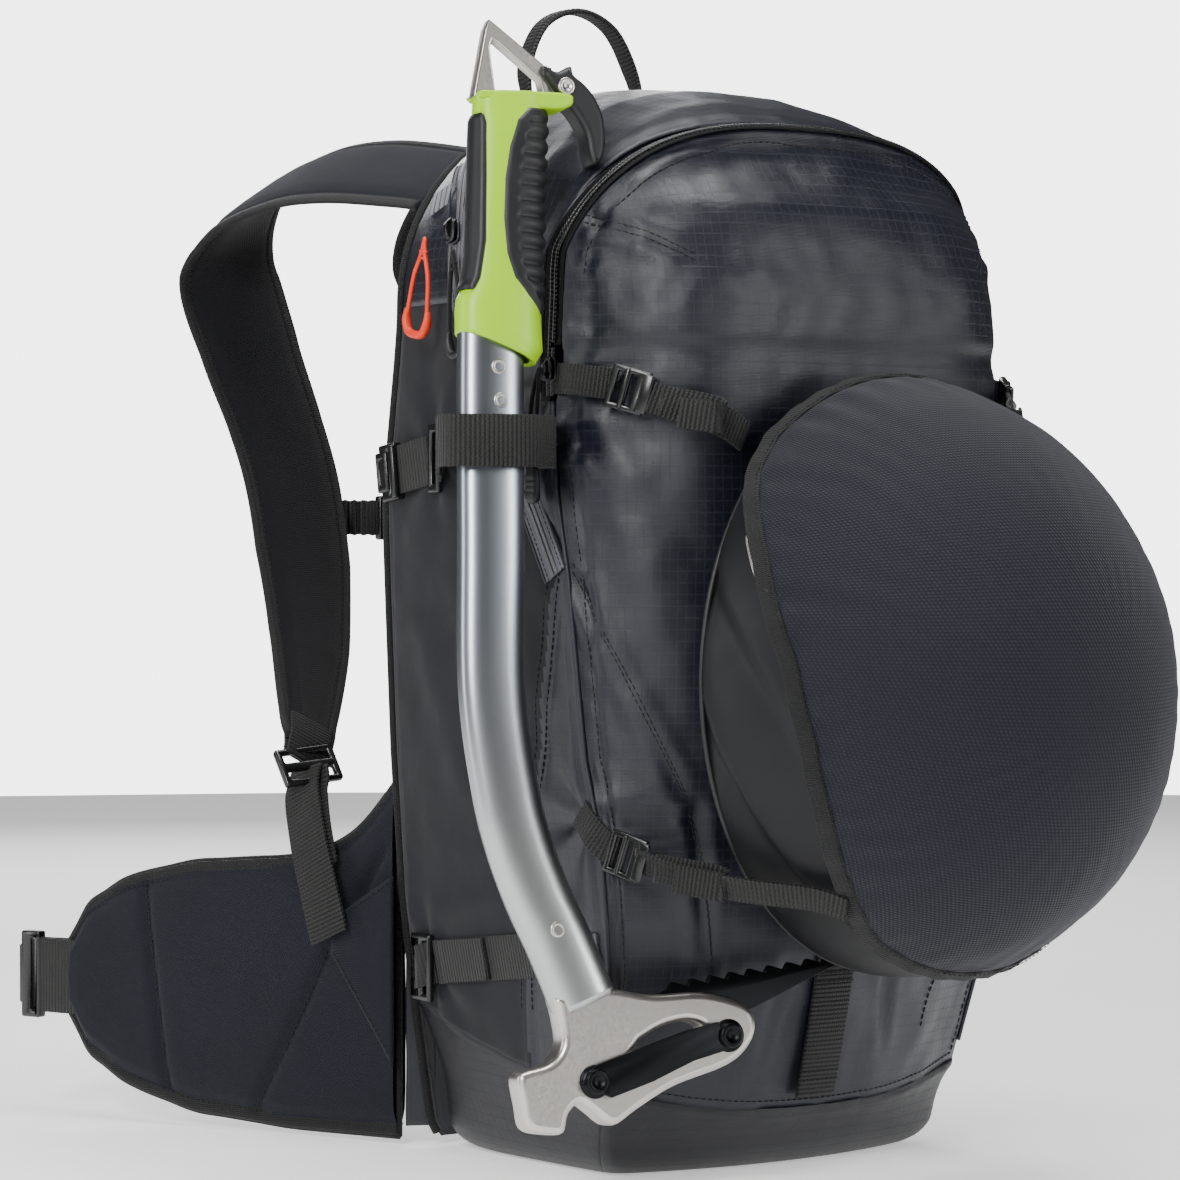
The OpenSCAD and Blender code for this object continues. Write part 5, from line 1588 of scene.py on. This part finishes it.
def shoulder_strap(s):
    """The left shoulder strap where s is 1, and its mirror image where s is -1."""
    n = 10
    P0 = smooth(STRAP_ROUTE, n)
    i = np.arange(len(P0)) / n
    P = resample(P0, 3.0)
    at = np.interp(arc_length(P) / arc_length(P)[-1], arc_length(P0) / arc_length(P0)[-1], i)
    size = np.interp(at, np.arange(13), STRAP_SIZES)
    roll = np.radians(np.interp(at, np.arange(13), STRAP_ROLLS))
    W = np.stack([np.cos(roll), 0 * roll, np.sin(roll)], 1)
    h = size / 2
    q = arr(0, 0.25, 0.8, 2.2, 3.5, 4.8, 5.7, 6.6, 8, 10.5)
    secs, mats = [], []
    inner = np.linspace(-1, 1, 9)
    for k in range(len(P)):
        edge = np.minimum(q, h[k] * 0.85)
        x = np.concatenate([-h[k] + edge, inner * (h[k] - min(12, h[k] * 0.9)), (h[k] - edge)[::-1]])
        t = pad_profile(h[k] - np.abs(x), 4.5 * min(1, h[k] / 22))
        secs.append(np.concatenate([np.stack([x, -t], 1), np.stack([x, t * 0.96], 1)[::-1]]))
    nx = len(x)
    for j in range(2 * nx):
        jj = j if j < nx - 1 else (2 * nx - 2 - j)
        bound = jj < 5 or jj >= nx - 6
        mats.append(2 if bound or j in (nx - 1, 2 * nx - 1) else (0 if j < nx else 1))
    secs = np.array(secs)
    wob = noise3(P, 40, 3)[:, None]
    secs[..., 1] *= 1 + 0.08 * wob * (np.abs(secs[..., 0]) < h[:, None] - 9)
    T = tangents(P)
    nrm = unit(np.cross(T, W))
    wid = np.cross(nrm, T)
    rows = [sweep("pad", P, W, secs, [harness, lining, binding], face_mat=mats)]
    for side in (-1, 1):
        for face in (-1, 1):
            inset = wid[2:-2] * ((h[2:-2] - 5.7) * side)[:, None]
            rows.append(stitches("s", P[2:-2] + inset + nrm[2:-2] * 1.75 * face, thread, 3.2, 2.4, 0.55))
    for points in (((-6, 0, 3.6), (-2, 0, 2.8), (-1, 4, 0.6), (-1, 9, -1.6), (-1, 11, -3.4)),
                   ((-6, 0, -3.6), (-2, 0, -3.2), (-1, 3, -3.4), (-1, 10, -4.6))):
        end = smooth([P[i] + T[i] * along + nrm[i] * out for i, along, out in points], 5)
        rows.append(webbing("end", end, W[-1], 23, web_black, 1.5, 1.5, 0.1))
    side = "left" if s > 0 else "right"
    ob = join("shoulder_pad_" + side, rows)
    if s < 0:
        mirror(ob)
    declare(ob, "pack", "harness_fabric", "shoulder_strap_" + side)


def mirror(ob):
    """The piece on the other side of the bag."""
    ob.data.transform(Matrix.Diagonal((-1, 1, 1, 1)))
    ob.data.flip_normals()


def harness_ring():
    R = euler(-35, 0, 0) @ euler(0, 0, -10)
    windows = [(0, 4.7, 24, 5), (0, -4.7, 24, 5)]
    return [rounded_plate(arr(-122, 153.5, 180), R, 31, 20.5, 4, windows, buckle, "ring", 1.3)]


def adjuster():
    P = smooth([(-121.6, 155.4, 178.6), (-124.6, 153.6, 173), (-127.6, 150, 165), (-132.5, 138, 146),
                (-135.6, 124, 122), (-136.2, 114, 100)], 6)
    back = smooth([(-121.2, 152.2, 177.4), (-121.8, 149.6, 171), (-124.6, 146.5, 163), (-129.4, 136.5, 146),
                   (-131.6, 128, 131)], 6)
    return [webbing("a", P, arr(-0.2, 0.6, -0.4), 23, web_black, 1.8, 2.0, 0.4),
            webbing("b", back, arr(-0.2, 0.6, -0.4), 22, web_black, 1.5, 2.0, 0.5, 5)]


def patch(name, corners, thick, mats, n=22, puff=0.4):
    """A four-cornered sewn patch. Corners go round it anticlockwise as seen from outside."""
    a, b, c, d = (np.asarray(p, float) for p in corners)
    u, v = np.meshgrid(np.linspace(0, 1, n), np.linspace(0, 1, n))
    u, v = u[..., None], v[..., None]
    P = mix(mix(a, b, u), mix(d, c, u), v)
    N = grid_normals(P)
    e = np.minimum(np.minimum(u, 1 - u), np.minimum(v, 1 - v))[..., 0] * 40
    rise = puff * ramp(e, 0, 3) - 0.5 * np.exp(-((e - 3) / 0.9) ** 2) + 0.25 * noise3(P, 12)
    P = P + N * rise[..., None]
    return shell_mesh(name, P, thick, mats, N)


def adjuster_tab():
    quad = [arr(-119.0 - (y - 87) * 0.45, y, z) for y, z in ((87, 40), (87, 130), (117, 108), (118, 92))]
    rows = [patch("t", [quad[3], quad[0], quad[1], quad[2]], 2.2, [harness, lining])]
    inner = sum(quad) / 4
    for a, b in ((quad[0], quad[3]), (quad[1], quad[2])):
        line = [mix(mix(a, b, t), inner, 0.09) + arr(-0.5, -0.2, 0) for t in np.linspace(0.03, 0.97, 20)]
        rows.append(stitches("s", line, thread, 3, 2.2, 0.5))
    return rows


WING_START, WING_DIR, WING_LEN = arr(-108, 96, 0), arr(-0.34, 0.94, 0), 206.0
wing_low = table((0, 4), (0.3, 4), (0.6, 8), (0.8, 18), (0.92, 32), (1, 56))
wing_high = table((0, 176), (0.08, 156), (0.18, 142), (0.3, 136), (0.6, 131), (0.8, 122), (0.92, 108),
                  (1, 84))
WING_SEAMS = (((0.735, 119), (0.70, 66), (0.665, 20)), ((0.195, 90), (0.28, 55), (0.40, 12)),
              ((0.03, 140), (0.09, 120)))


def wing_outline(n):
    """The wing's low and high edges, as (along, height) points from its root to its tip."""
    u = np.sin(np.linspace(0, math.pi / 2, n))
    low = smooth(np.stack([u * WING_LEN, wing_low(u)], 1)[::4], 6)
    high = smooth(np.stack([u * WING_LEN, wing_high(u)], 1)[::4], 6)
    return low, high


def wing_point(along, height, out=0.0):
    """A point out from the bowed middle of the wing."""
    side = unit(arr(WING_DIR[1], -WING_DIR[0], 0))
    bow = 2.2 * math.sin(along / WING_LEN * math.pi)
    return WING_START + along * WING_DIR + height * Z + side * (out - bow)


def hip_pad():
    low, high = wing_outline(60)
    k, m = 96, 64
    u = np.sin(np.linspace(0, math.pi / 2, k))
    lo = np.interp(u * WING_LEN, low[:, 0], low[:, 1])
    hi = np.interp(u * WING_LEN, high[:, 0], high[:, 1])
    v = np.concatenate([[0, 0.004, 0.012, 0.025, 0.04, 0.055], np.linspace(0.075, 0.925, m - 12),
                        [0.945, 0.96, 0.975, 0.988, 0.996, 1]])
    U, V = np.meshgrid(u * WING_LEN, v)
    Zz = mix(lo[None, :], hi[None, :], V)
    d = np.minimum(Zz - lo[None, :], hi[None, :] - Zz)
    d = np.minimum(d, (WING_LEN - U) * 1.6 + np.minimum(V, 1 - V) * 6)
    seam = np.full(U.shape, 99.0)
    for pts in WING_SEAMS:
        line = smooth([(a * WING_LEN, b) for a, b in pts], 8)
        for a, b in zip(line[:-1], line[1:]):
            seam = np.minimum(seam, segment_distance(np.stack([U, Zz], -1), a, b)[0])
    half = pad_profile(d, 5.4)
    half = half * (1 - 0.55 * np.exp(-(seam / 3.0) ** 2)) - 0.5 * np.exp(-(seam / 1.0) ** 2)
    base = WING_START + U[..., None] * WING_DIR + Zz[..., None] * Z
    side = unit(arr(WING_DIR[1], -WING_DIR[0], 0))
    half = half + (0.5 * noise3(base, 38, 2) + 0.25 * noise3(base, 15, 4)) * ramp(d, 6, 14)
    curve = (-2.2 * np.sin(U / WING_LEN * math.pi) + 1.2 * noise3(base, 90, 8))[..., None] * side
    outer = (base - side * half[..., None] + curve)[:, ::-1]
    inner = base + side * (half * 0.95)[..., None] + curve
    uv = np.stack([U, Zz], -1)
    bound = (d < 5.2).astype(int)
    parts = []
    for P, W2, b, cloth in ((outer, uv[:, ::-1], bound[:, ::-1], harness), (inner, uv, bound, lining)):
        r, c = P.shape[:2]
        cells = [(i, j) for i in range(r - 1) for j in range(c - 1)]
        faces = [(i * c + j, i * c + j + 1, (i + 1) * c + j + 1, (i + 1) * c + j) for i, j in cells]
        fm = [int(b[i, j]) for i, j in cells]
        parts.append(add_mesh("w", P.reshape(-1, 3), faces, W2.reshape(-1, 2), [cloth, binding], fm))
    for line in (base[0], base[-1], base[:, -1], base[:, 0]):
        parts.append(sweep("r", resample(line, 2.5), side, section_round(3.4, 8, 0.8), [binding]))
    along = u * WING_LEN
    seen = along < WING_LEN * 0.965
    for face in (-1, 1):
        for edge in (lo + 5.9, hi - 5.9):
            row = [wing_point(a, b, 2.0 * face) for a, b in zip(along[seen], edge[seen])]
            parts.append(stitches("s", row, thread, 3.2, 2.4, 0.55))
        for pts in WING_SEAMS[:2]:
            row = [wing_point(a, b, 2.6 * face) for a, b in smooth([(a * WING_LEN, b) for a, b in pts], 8)]
            parts.append(stitches("s", row, thread, 3.2, 2.3, 0.5))
    return join("wing", parts)


TIP_AT = WING_START + WING_DIR * (WING_LEN + 1) + arr(0, 0, 70)


def hip_belt():
    turn = euler(0, 0, 20)
    F = np.stack([turn @ Y, -(turn @ X), Z], 1)
    for side in ("left", "right"):
        left = side == "left"
        wing = hip_pad()
        wing.name = "hip_pad_" + side
        web = webbing("web", [TIP_AT + WING_DIR * k for k in (-5, 0, 9, 15)], Z, 38, web_black, 2.2, 1.5,
                      0.4)
        lower = smooth([TIP_AT - WING_DIR * 14 + arr(-3.2, -1, 0), TIP_AT + WING_DIR * 2 + arr(-2.6, -1, 0),
                        TIP_AT + WING_DIR * 15 + arr(-1.4, 0, 0)], 5)
        web2 = webbing("web", lower, Z, 37, web_black, 1.6, 1.5, 0.6, 4)
        at = TIP_AT + WING_DIR * (15 + (11 if left else 34) / 2)
        if left:
            parts = [rounded_plate(at, F, 12, 44, 6, [(-1.6, 0, 3.4, 37)], buckle, "plug", 1.6),
                     rounded_plate(at + F @ arr(6, 0.5, 0), F, 3.5, 30, 4, [], buckle, "lip", 1.4)]
        else:
            parts = [rounded_plate(at, F, 34, 44, 7, [(-13, 0, 4, 38), (4, 0, 12, 14)], buckle, "socket",
                                   2.2),
                     rounded_plate(at + F @ arr(4, 0, 0), F, 20, 10, 5, [], buckle, "tongue", 1.4),
                     rounded_plate(at + F @ arr(-4, 2.6, 0), F, 3, 32, 3, [], buckle, "rib", 1.0)]
        web = join("hip_webbing_" + side, [web, web2])
        clip = join("hip_clip_" + side, parts)
        if not left:
            for ob in (wing, web, clip):
                mirror(ob)
        declare(wing, "hip_" + side, "harness_fabric", "hip_wing_" + side)
        declare(web, "hip_tip_" + side, "webbing", "hip_web_" + side)
        declare(clip, "hip_tip_" + side, "buckle", "hip_buckle_plug" if left else "hip_buckle_socket")


def sternum():
    y, z = 250.0, 302.0
    x = np.linspace(-46, -13, 60)
    ruffle = 1.1 * np.sin((x + 46) * 1.1) * ramp(x, -44, -40) * (1 - ramp(x, -26, -20))
    left = sweep("l", np.stack([x, y + ruffle, z + 0 * x], 1), Z, section_rect(18, 1.9), [web_black],
                 scale=np.stack([1 + 0.03 * np.cos((x + 46) * 1.1), np.ones(60)], 1))
    declare(left, "sternum_strap", "webbing", "sternum_web_left")
    left.name = "sternum_webbing_left"
    right = webbing("sternum_webbing_right", [(46, y, z), (30, y, z), (17, y, z)], Z, 18, web_black, 2.0,
                    1.5, 0.2)
    declare(right, "sternum_strap", "webbing", "sternum_web_right")
    F = np.eye(3)
    declare(join("sternum_clip", [
        rounded_plate(arr(7, y, z), F, 22, 24, 7, [(6.5, 0, 3.4, 17)], buckle, "a", 1.8),
        rounded_plate(arr(-8.6, y, z), F, 12, 23, 5.4, [(-2, 0, 3.4, 17)], buckle, "b", 1.4),
        rounded_plate(arr(-1, y, z), F, 8, 15, 5, [], buckle, "c", 1.4)]),
        "sternum_strap", "buckle", "sternum_buckle")


def back_half_width(z):
    return side_x(z) - 5.0 * ramp(z, 290, MID) - 4.4


def back_cloth():
    c = np.linspace(180, 0, 90)
    t = np.concatenate([np.linspace(0, 1, 100), np.linspace(1, 2, 34)[1:]])
    C, T = np.meshgrid(c, t)
    k = -np.cos(np.radians(C))
    low_z = mix(4.0, MID, np.minimum(T, 1))
    v = np.clip(T - 1, 0, 1)
    top_x, top_z = arch_outline(C, BACK_ARCH_W, BACK_ARCH_H, BACK_ARCH_N)
    x = np.where(T <= 1, k * back_half_width(low_z), mix(k * 112.6, top_x, v))
    z = np.where(T <= 1, low_z, mix(MID, top_z, v))
    share = arch_share(x, z, BACK_ARCH_W, BACK_ARCH_H, BACK_ARCH_N)
    rim = (1 - np.where(z > MID, share, np.abs(x) / back_half_width(z))) * 108
    edge = np.clip(np.minimum(rim, z - 4), 0, None)
    P = np.stack([x, np.full(x.shape, 86.9), z], -1)
    h = 3.6 * ramp(edge, 0, 6) - 1.0 * np.exp(-((edge - 5.5) / 1.2) ** 2)
    h += 0.5 * noise3(P, 40, 3) * ramp(edge, 4, 16)
    h -= 2.2 * np.exp(-((np.abs(x) - 15) / 2.5) ** 2) * ramp(z, 175, 190) * (1 - ramp(z, 425, 440))
    P[..., 1] += h
    cloth = shell_mesh("back_cloth", P, 1.2, [harness, inside], None, np.stack([x, z], -1))
    pipe = sweep("pipe", back_rim(), Y, section_round(4.2, 10), [binding])
    declare(join("back_panel_cloth", [cloth, pipe] + hip_gussets()), "pack", "shell_fabric", "back_panel")


def hip_gussets():
    """The cloth that joins the corner of the back panel to the root of each hip wing."""
    low, high = wing_outline(60)
    z = np.linspace(low[0, 1] + 5, high[0, 1] - 5, 40)
    parts = []
    for inner, outer in ((104.8, 92.0), (-92.0, -104.8)):
        x, Zg = np.meshgrid(np.linspace(inner, outer, 9), z)
        out = ramp(np.abs(x), 92, 104.8)
        P = np.stack([x, 90.2 + 5.0 * out + 0.5 * noise3(np.stack([x, 0 * x, Zg], -1), 26, 6), Zg], -1)
        parts.append(shell_mesh("gusset", P, 1.2, [harness, inside], None, np.stack([x, Zg], -1)))
    return parts


def back_rim():
    """The back panel's edge, up the left, over the arch and down the right."""
    z = np.linspace(6, MID, 80)
    x, top_z = arch_outline(np.linspace(0, 180, 90), BACK_ARCH_W, BACK_ARCH_H, BACK_ARCH_N)
    top = np.stack([x, 0 * x + 87.6, top_z], 1)
    left = np.stack([-back_half_width(z), 0 * z + 87.6, z], 1)
    return resample(np.vstack([left[:-1], top, left[::-1][1:] * arr(-1, 1, 1)]), 3.0)


def body_pad(name, x, z, w, h, t, r, grooves, along):
    """A crowned foam pad with sewn grooves, flat where it lies on the back."""
    phi, q = disc_grid(75)
    a = np.radians(phi)
    p = 2.0 + 6.0 * (1 - r / (min(w, h) / 2))
    reach = ((np.abs(np.cos(a)) / (w / 2)) ** p + (np.abs(np.sin(a)) / (h / 2)) ** p) ** (-1 / p)
    px, pz = -q * reach * np.cos(a), q * reach * np.sin(a)
    d = (1 - q) * np.minimum(w, h) / 2
    rise = t * (0.34 * ramp(d, 0, 3.5) + 0.66 * ramp(d, 2, 15))
    g = pz if along == "z" else px
    for at in grooves:
        rise = rise - 0.42 * t * np.exp(-((g - at) / 3.2) ** 2) * ramp(d, 2, 8)
    rise = rise + 0.3 * noise3(np.stack([px, 0 * px, pz], -1), 18, x * 0.1) * ramp(d, 4, 12)
    P = np.stack([px + x, 91.6 + rise, pz + z], -1)
    return shell_mesh(name, P, 1.0, [pad_cloth, lining], None, np.stack([px, pz], -1))


def back_pads():
    long_grooves = (-80, -40, 0, 40, 80)
    parts = [body_pad("back_pad_left", -52, 300, 62, 240, 11.4, 16, long_grooves, "z"),
             body_pad("back_pad_right", 52, 300, 62, 240, 11.4, 16, long_grooves, "z"),
             body_pad("back_pad_lumbar", 0, 110, 150, 100, 11.4, 20, (-40, 0, 40), "x")]
    for ob in parts:
        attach(ob, "pack")
    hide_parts("back_pads")


def inner_parts():
    z, q = np.linspace(20.5, 329.5, 80), np.linspace(1, -1, 56)
    Q, Zg = np.meshgrid(q, z)
    half = np.interp(Zg, [20, 150, 330], [98, 112, 112]) - 0.5
    P = np.stack([Q * half, 45.4 + 0 * Q, Zg], -1)
    P[..., 1] += 1.6 * noise3(P, 70) + 0.6 * noise3(P, 25, 2)
    cloth = shell_mesh("tool_pocket_divider", P, 0.6, [divider_cloth])
    declare(cloth, "pack", "divider_fabric", "tool_divider")
    for node, mat in (("frame_sheet", frame_plastic), ("frame_stay", alloy)):
        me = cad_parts[node].data
        me.materials.clear()
        me.materials.append(mat)


def seam_rows(front, left):
    """Thread and piping on the bag's seams, laid on the cloth itself."""
    lower_dart = ((-122.5, -62, 276), (-104, -84, 220), (-84, -97, 166), (-74, -97, 120), (-66, -95, 62))
    upper_dart = ((-114, -60, 433), (-100, -85, 425), (-85, -98, 415))
    rows = []
    for s in (1, -1):
        m = arr(s, 1, 1)
        for dart in (lower_dart, upper_dart):
            line = resample(smooth(dart, 8), 2.6) * m
            for off in (-1.9, 1.9):
                P = near_cloth(front, line + arr(0, 0, off), 0.15)
                rows.append(stitches("s", P, thread, 3.4, 2.5, 0.6))
        z = np.linspace(46, 338, 110)
        edge = np.stack([-(side_x(z) - 2.6) * s, seam_y(z) - 6.5, z], 1)
        rows.append(stitches("s", near_cloth(front, edge, 0.15), thread, 3.4, 2.5, 0.6))
        z = np.linspace(50, 352, 110)
        corner = np.stack([-(side_x(z) + 0.5) * s, seam_y(z) - 0.2, z], 1)
        rows.append(sweep("p", corner, X, section_round(2.2, 8), [navy]))
    a = np.linspace(4, 176, 130)
    arch = arch_point(a, -75.0)
    arch = np.stack([arch[:, 0] * 0.955, arch_seam(a) - 14, MID + (arch[:, 2] - MID) * 0.945], 1)
    flap_row = stitches("flap_stitches", near_cloth(front, arch, 0.15), thread, 3.4, 2.5, 0.6)
    declare(flap_row, "flap", "shell_fabric")
    x = np.linspace(-100, 100, 90)
    z = boot_line_front(x) + 4.2
    rows.append(stitches("s", near_cloth(front, np.stack([x, face_y(x, z), z], 1), 0.15), thread, 3.4, 2.5,
                         0.6))
    zs = np.linspace(76, 396, 120)
    for off in (-3.4, 3.6):
        rows.append(stitches("s", near_cloth(left, on_left(rear_line(zs) + off, zs), 0.2), thread, 3.4, 2.5,
                             0.6))
    declare(join("seam_stitches", rows), "pack", "shell_fabric")


def strap_ends():
    """The rings, webbing and tabs at the lower end of each shoulder strap."""
    tabs = []
    for side in ("left", "right"):
        ring = join("harness_ring_" + side, harness_ring())
        web = join("adjuster_webbing_" + side, adjuster())
        tabs.append(join("tab", adjuster_tab()))
        if side == "right":
            for ob in (ring, web, tabs[-1]):
                mirror(ob)
        declare(ring, "pack", "buckle", "strap_ring_" + side)
        declare(web, "pack", "webbing", "adjuster_web_" + side)
    declare(join("adjuster_tab_patches", tabs), "pack", "harness_fabric", "adjuster_tabs")


seam_rows(front_P, left_P)
for sgn in (1, -1):
    shoulder_strap(sgn)
strap_ends()
hip_belt()
sternum()
back_cloth()
back_pads()
inner_parts()


# ---- camera, light and floor ----------------------------------------------------
def studio():
    sc = bpy.context.scene
    cam_data = bpy.data.cameras.new("camera")
    cam_data.sensor_width = 36
    cam_data.lens = 128.14
    cam_data.clip_start, cam_data.clip_end = 0.1, 20
    cam = new_object("camera", cam_data)
    az, el, distance = math.radians(-37.5), math.radians(0.5), 2.0
    target = Vector((-0.042, 0.032, 0.266))
    away = Vector((math.sin(az) * math.cos(el), -math.cos(az) * math.cos(el), math.sin(el)))
    cam.location = target + distance * away
    cam.rotation_euler = (target - cam.location).to_track_quat("-Z", "Y").to_euler()
    sc.camera = cam

    world = bpy.data.worlds.new("studio")
    world.use_nodes = True
    nt = world.node_tree
    soft = nt.nodes["Background"]
    soft.inputs[0].default_value = (1.0, 1.0, 1.0, 1.0)
    soft.inputs[1].default_value = 0.07
    seen = nt.nodes.new("ShaderNodeBackground")
    seen.inputs[0].default_value = (1.0, 1.0, 1.0, 1.0)
    seen.inputs[1].default_value = 4.5
    rays = nt.nodes.new("ShaderNodeLightPath")
    both = nt.nodes.new("ShaderNodeMixShader")
    nt.links.new(rays.outputs["Is Camera Ray"], both.inputs[0])
    nt.links.new(soft.outputs[0], both.inputs[1])
    nt.links.new(seen.outputs[0], both.inputs[2])
    nt.links.new(both.outputs[0], nt.nodes["World Output"].inputs[0])
    sc.world = world

    middle = Vector((0, 0, 0.27))
    for name, place, size, power in (("key", (-1.7, -0.9, 1.2), (0.45, 1.1), 44),
                                     ("front", (1.0, -1.9, 0.9), (0.4, 1.2), 22),
                                     ("top", (0.0, -0.1, 1.9), (1.0, 0.6), 30),
                                     ("left", (-1.8, 1.0, 0.7), (0.5, 1.2), 11),
                                     ("back", (0.8, 1.9, 1.1), (1.2, 1.0), 24)):
        data = bpy.data.lights.new(name, "AREA")
        data.shape = "RECTANGLE"
        data.size, data.size_y = size
        data.energy = power
        ob = new_object(name, data)
        ob.location = place
        ob.rotation_euler = (middle - Vector(place)).to_track_quat("-Z", "Y").to_euler()

    s = Surface("pale_floor", (0.9, 0.9, 0.9), 0.85)
    s.tint(s.noise(900, 2.0) * 0.4, (0.93, 0.93, 0.93))
    s.bsdf.inputs["Emission Color"].default_value = (1.0, 1.0, 1.0, 1.0)
    s.bsdf.inputs["Emission Strength"].default_value = 0.5
    n, r = 48, 3000.0
    ring = [(r * math.cos(k * 2 * math.pi / n), r * math.sin(k * 2 * math.pi / n), -0.05) for k in range(n)]
    floor = add_mesh("floor", ring, [tuple(range(n))], np.array(ring)[:, :2], [s.mat])


studio()
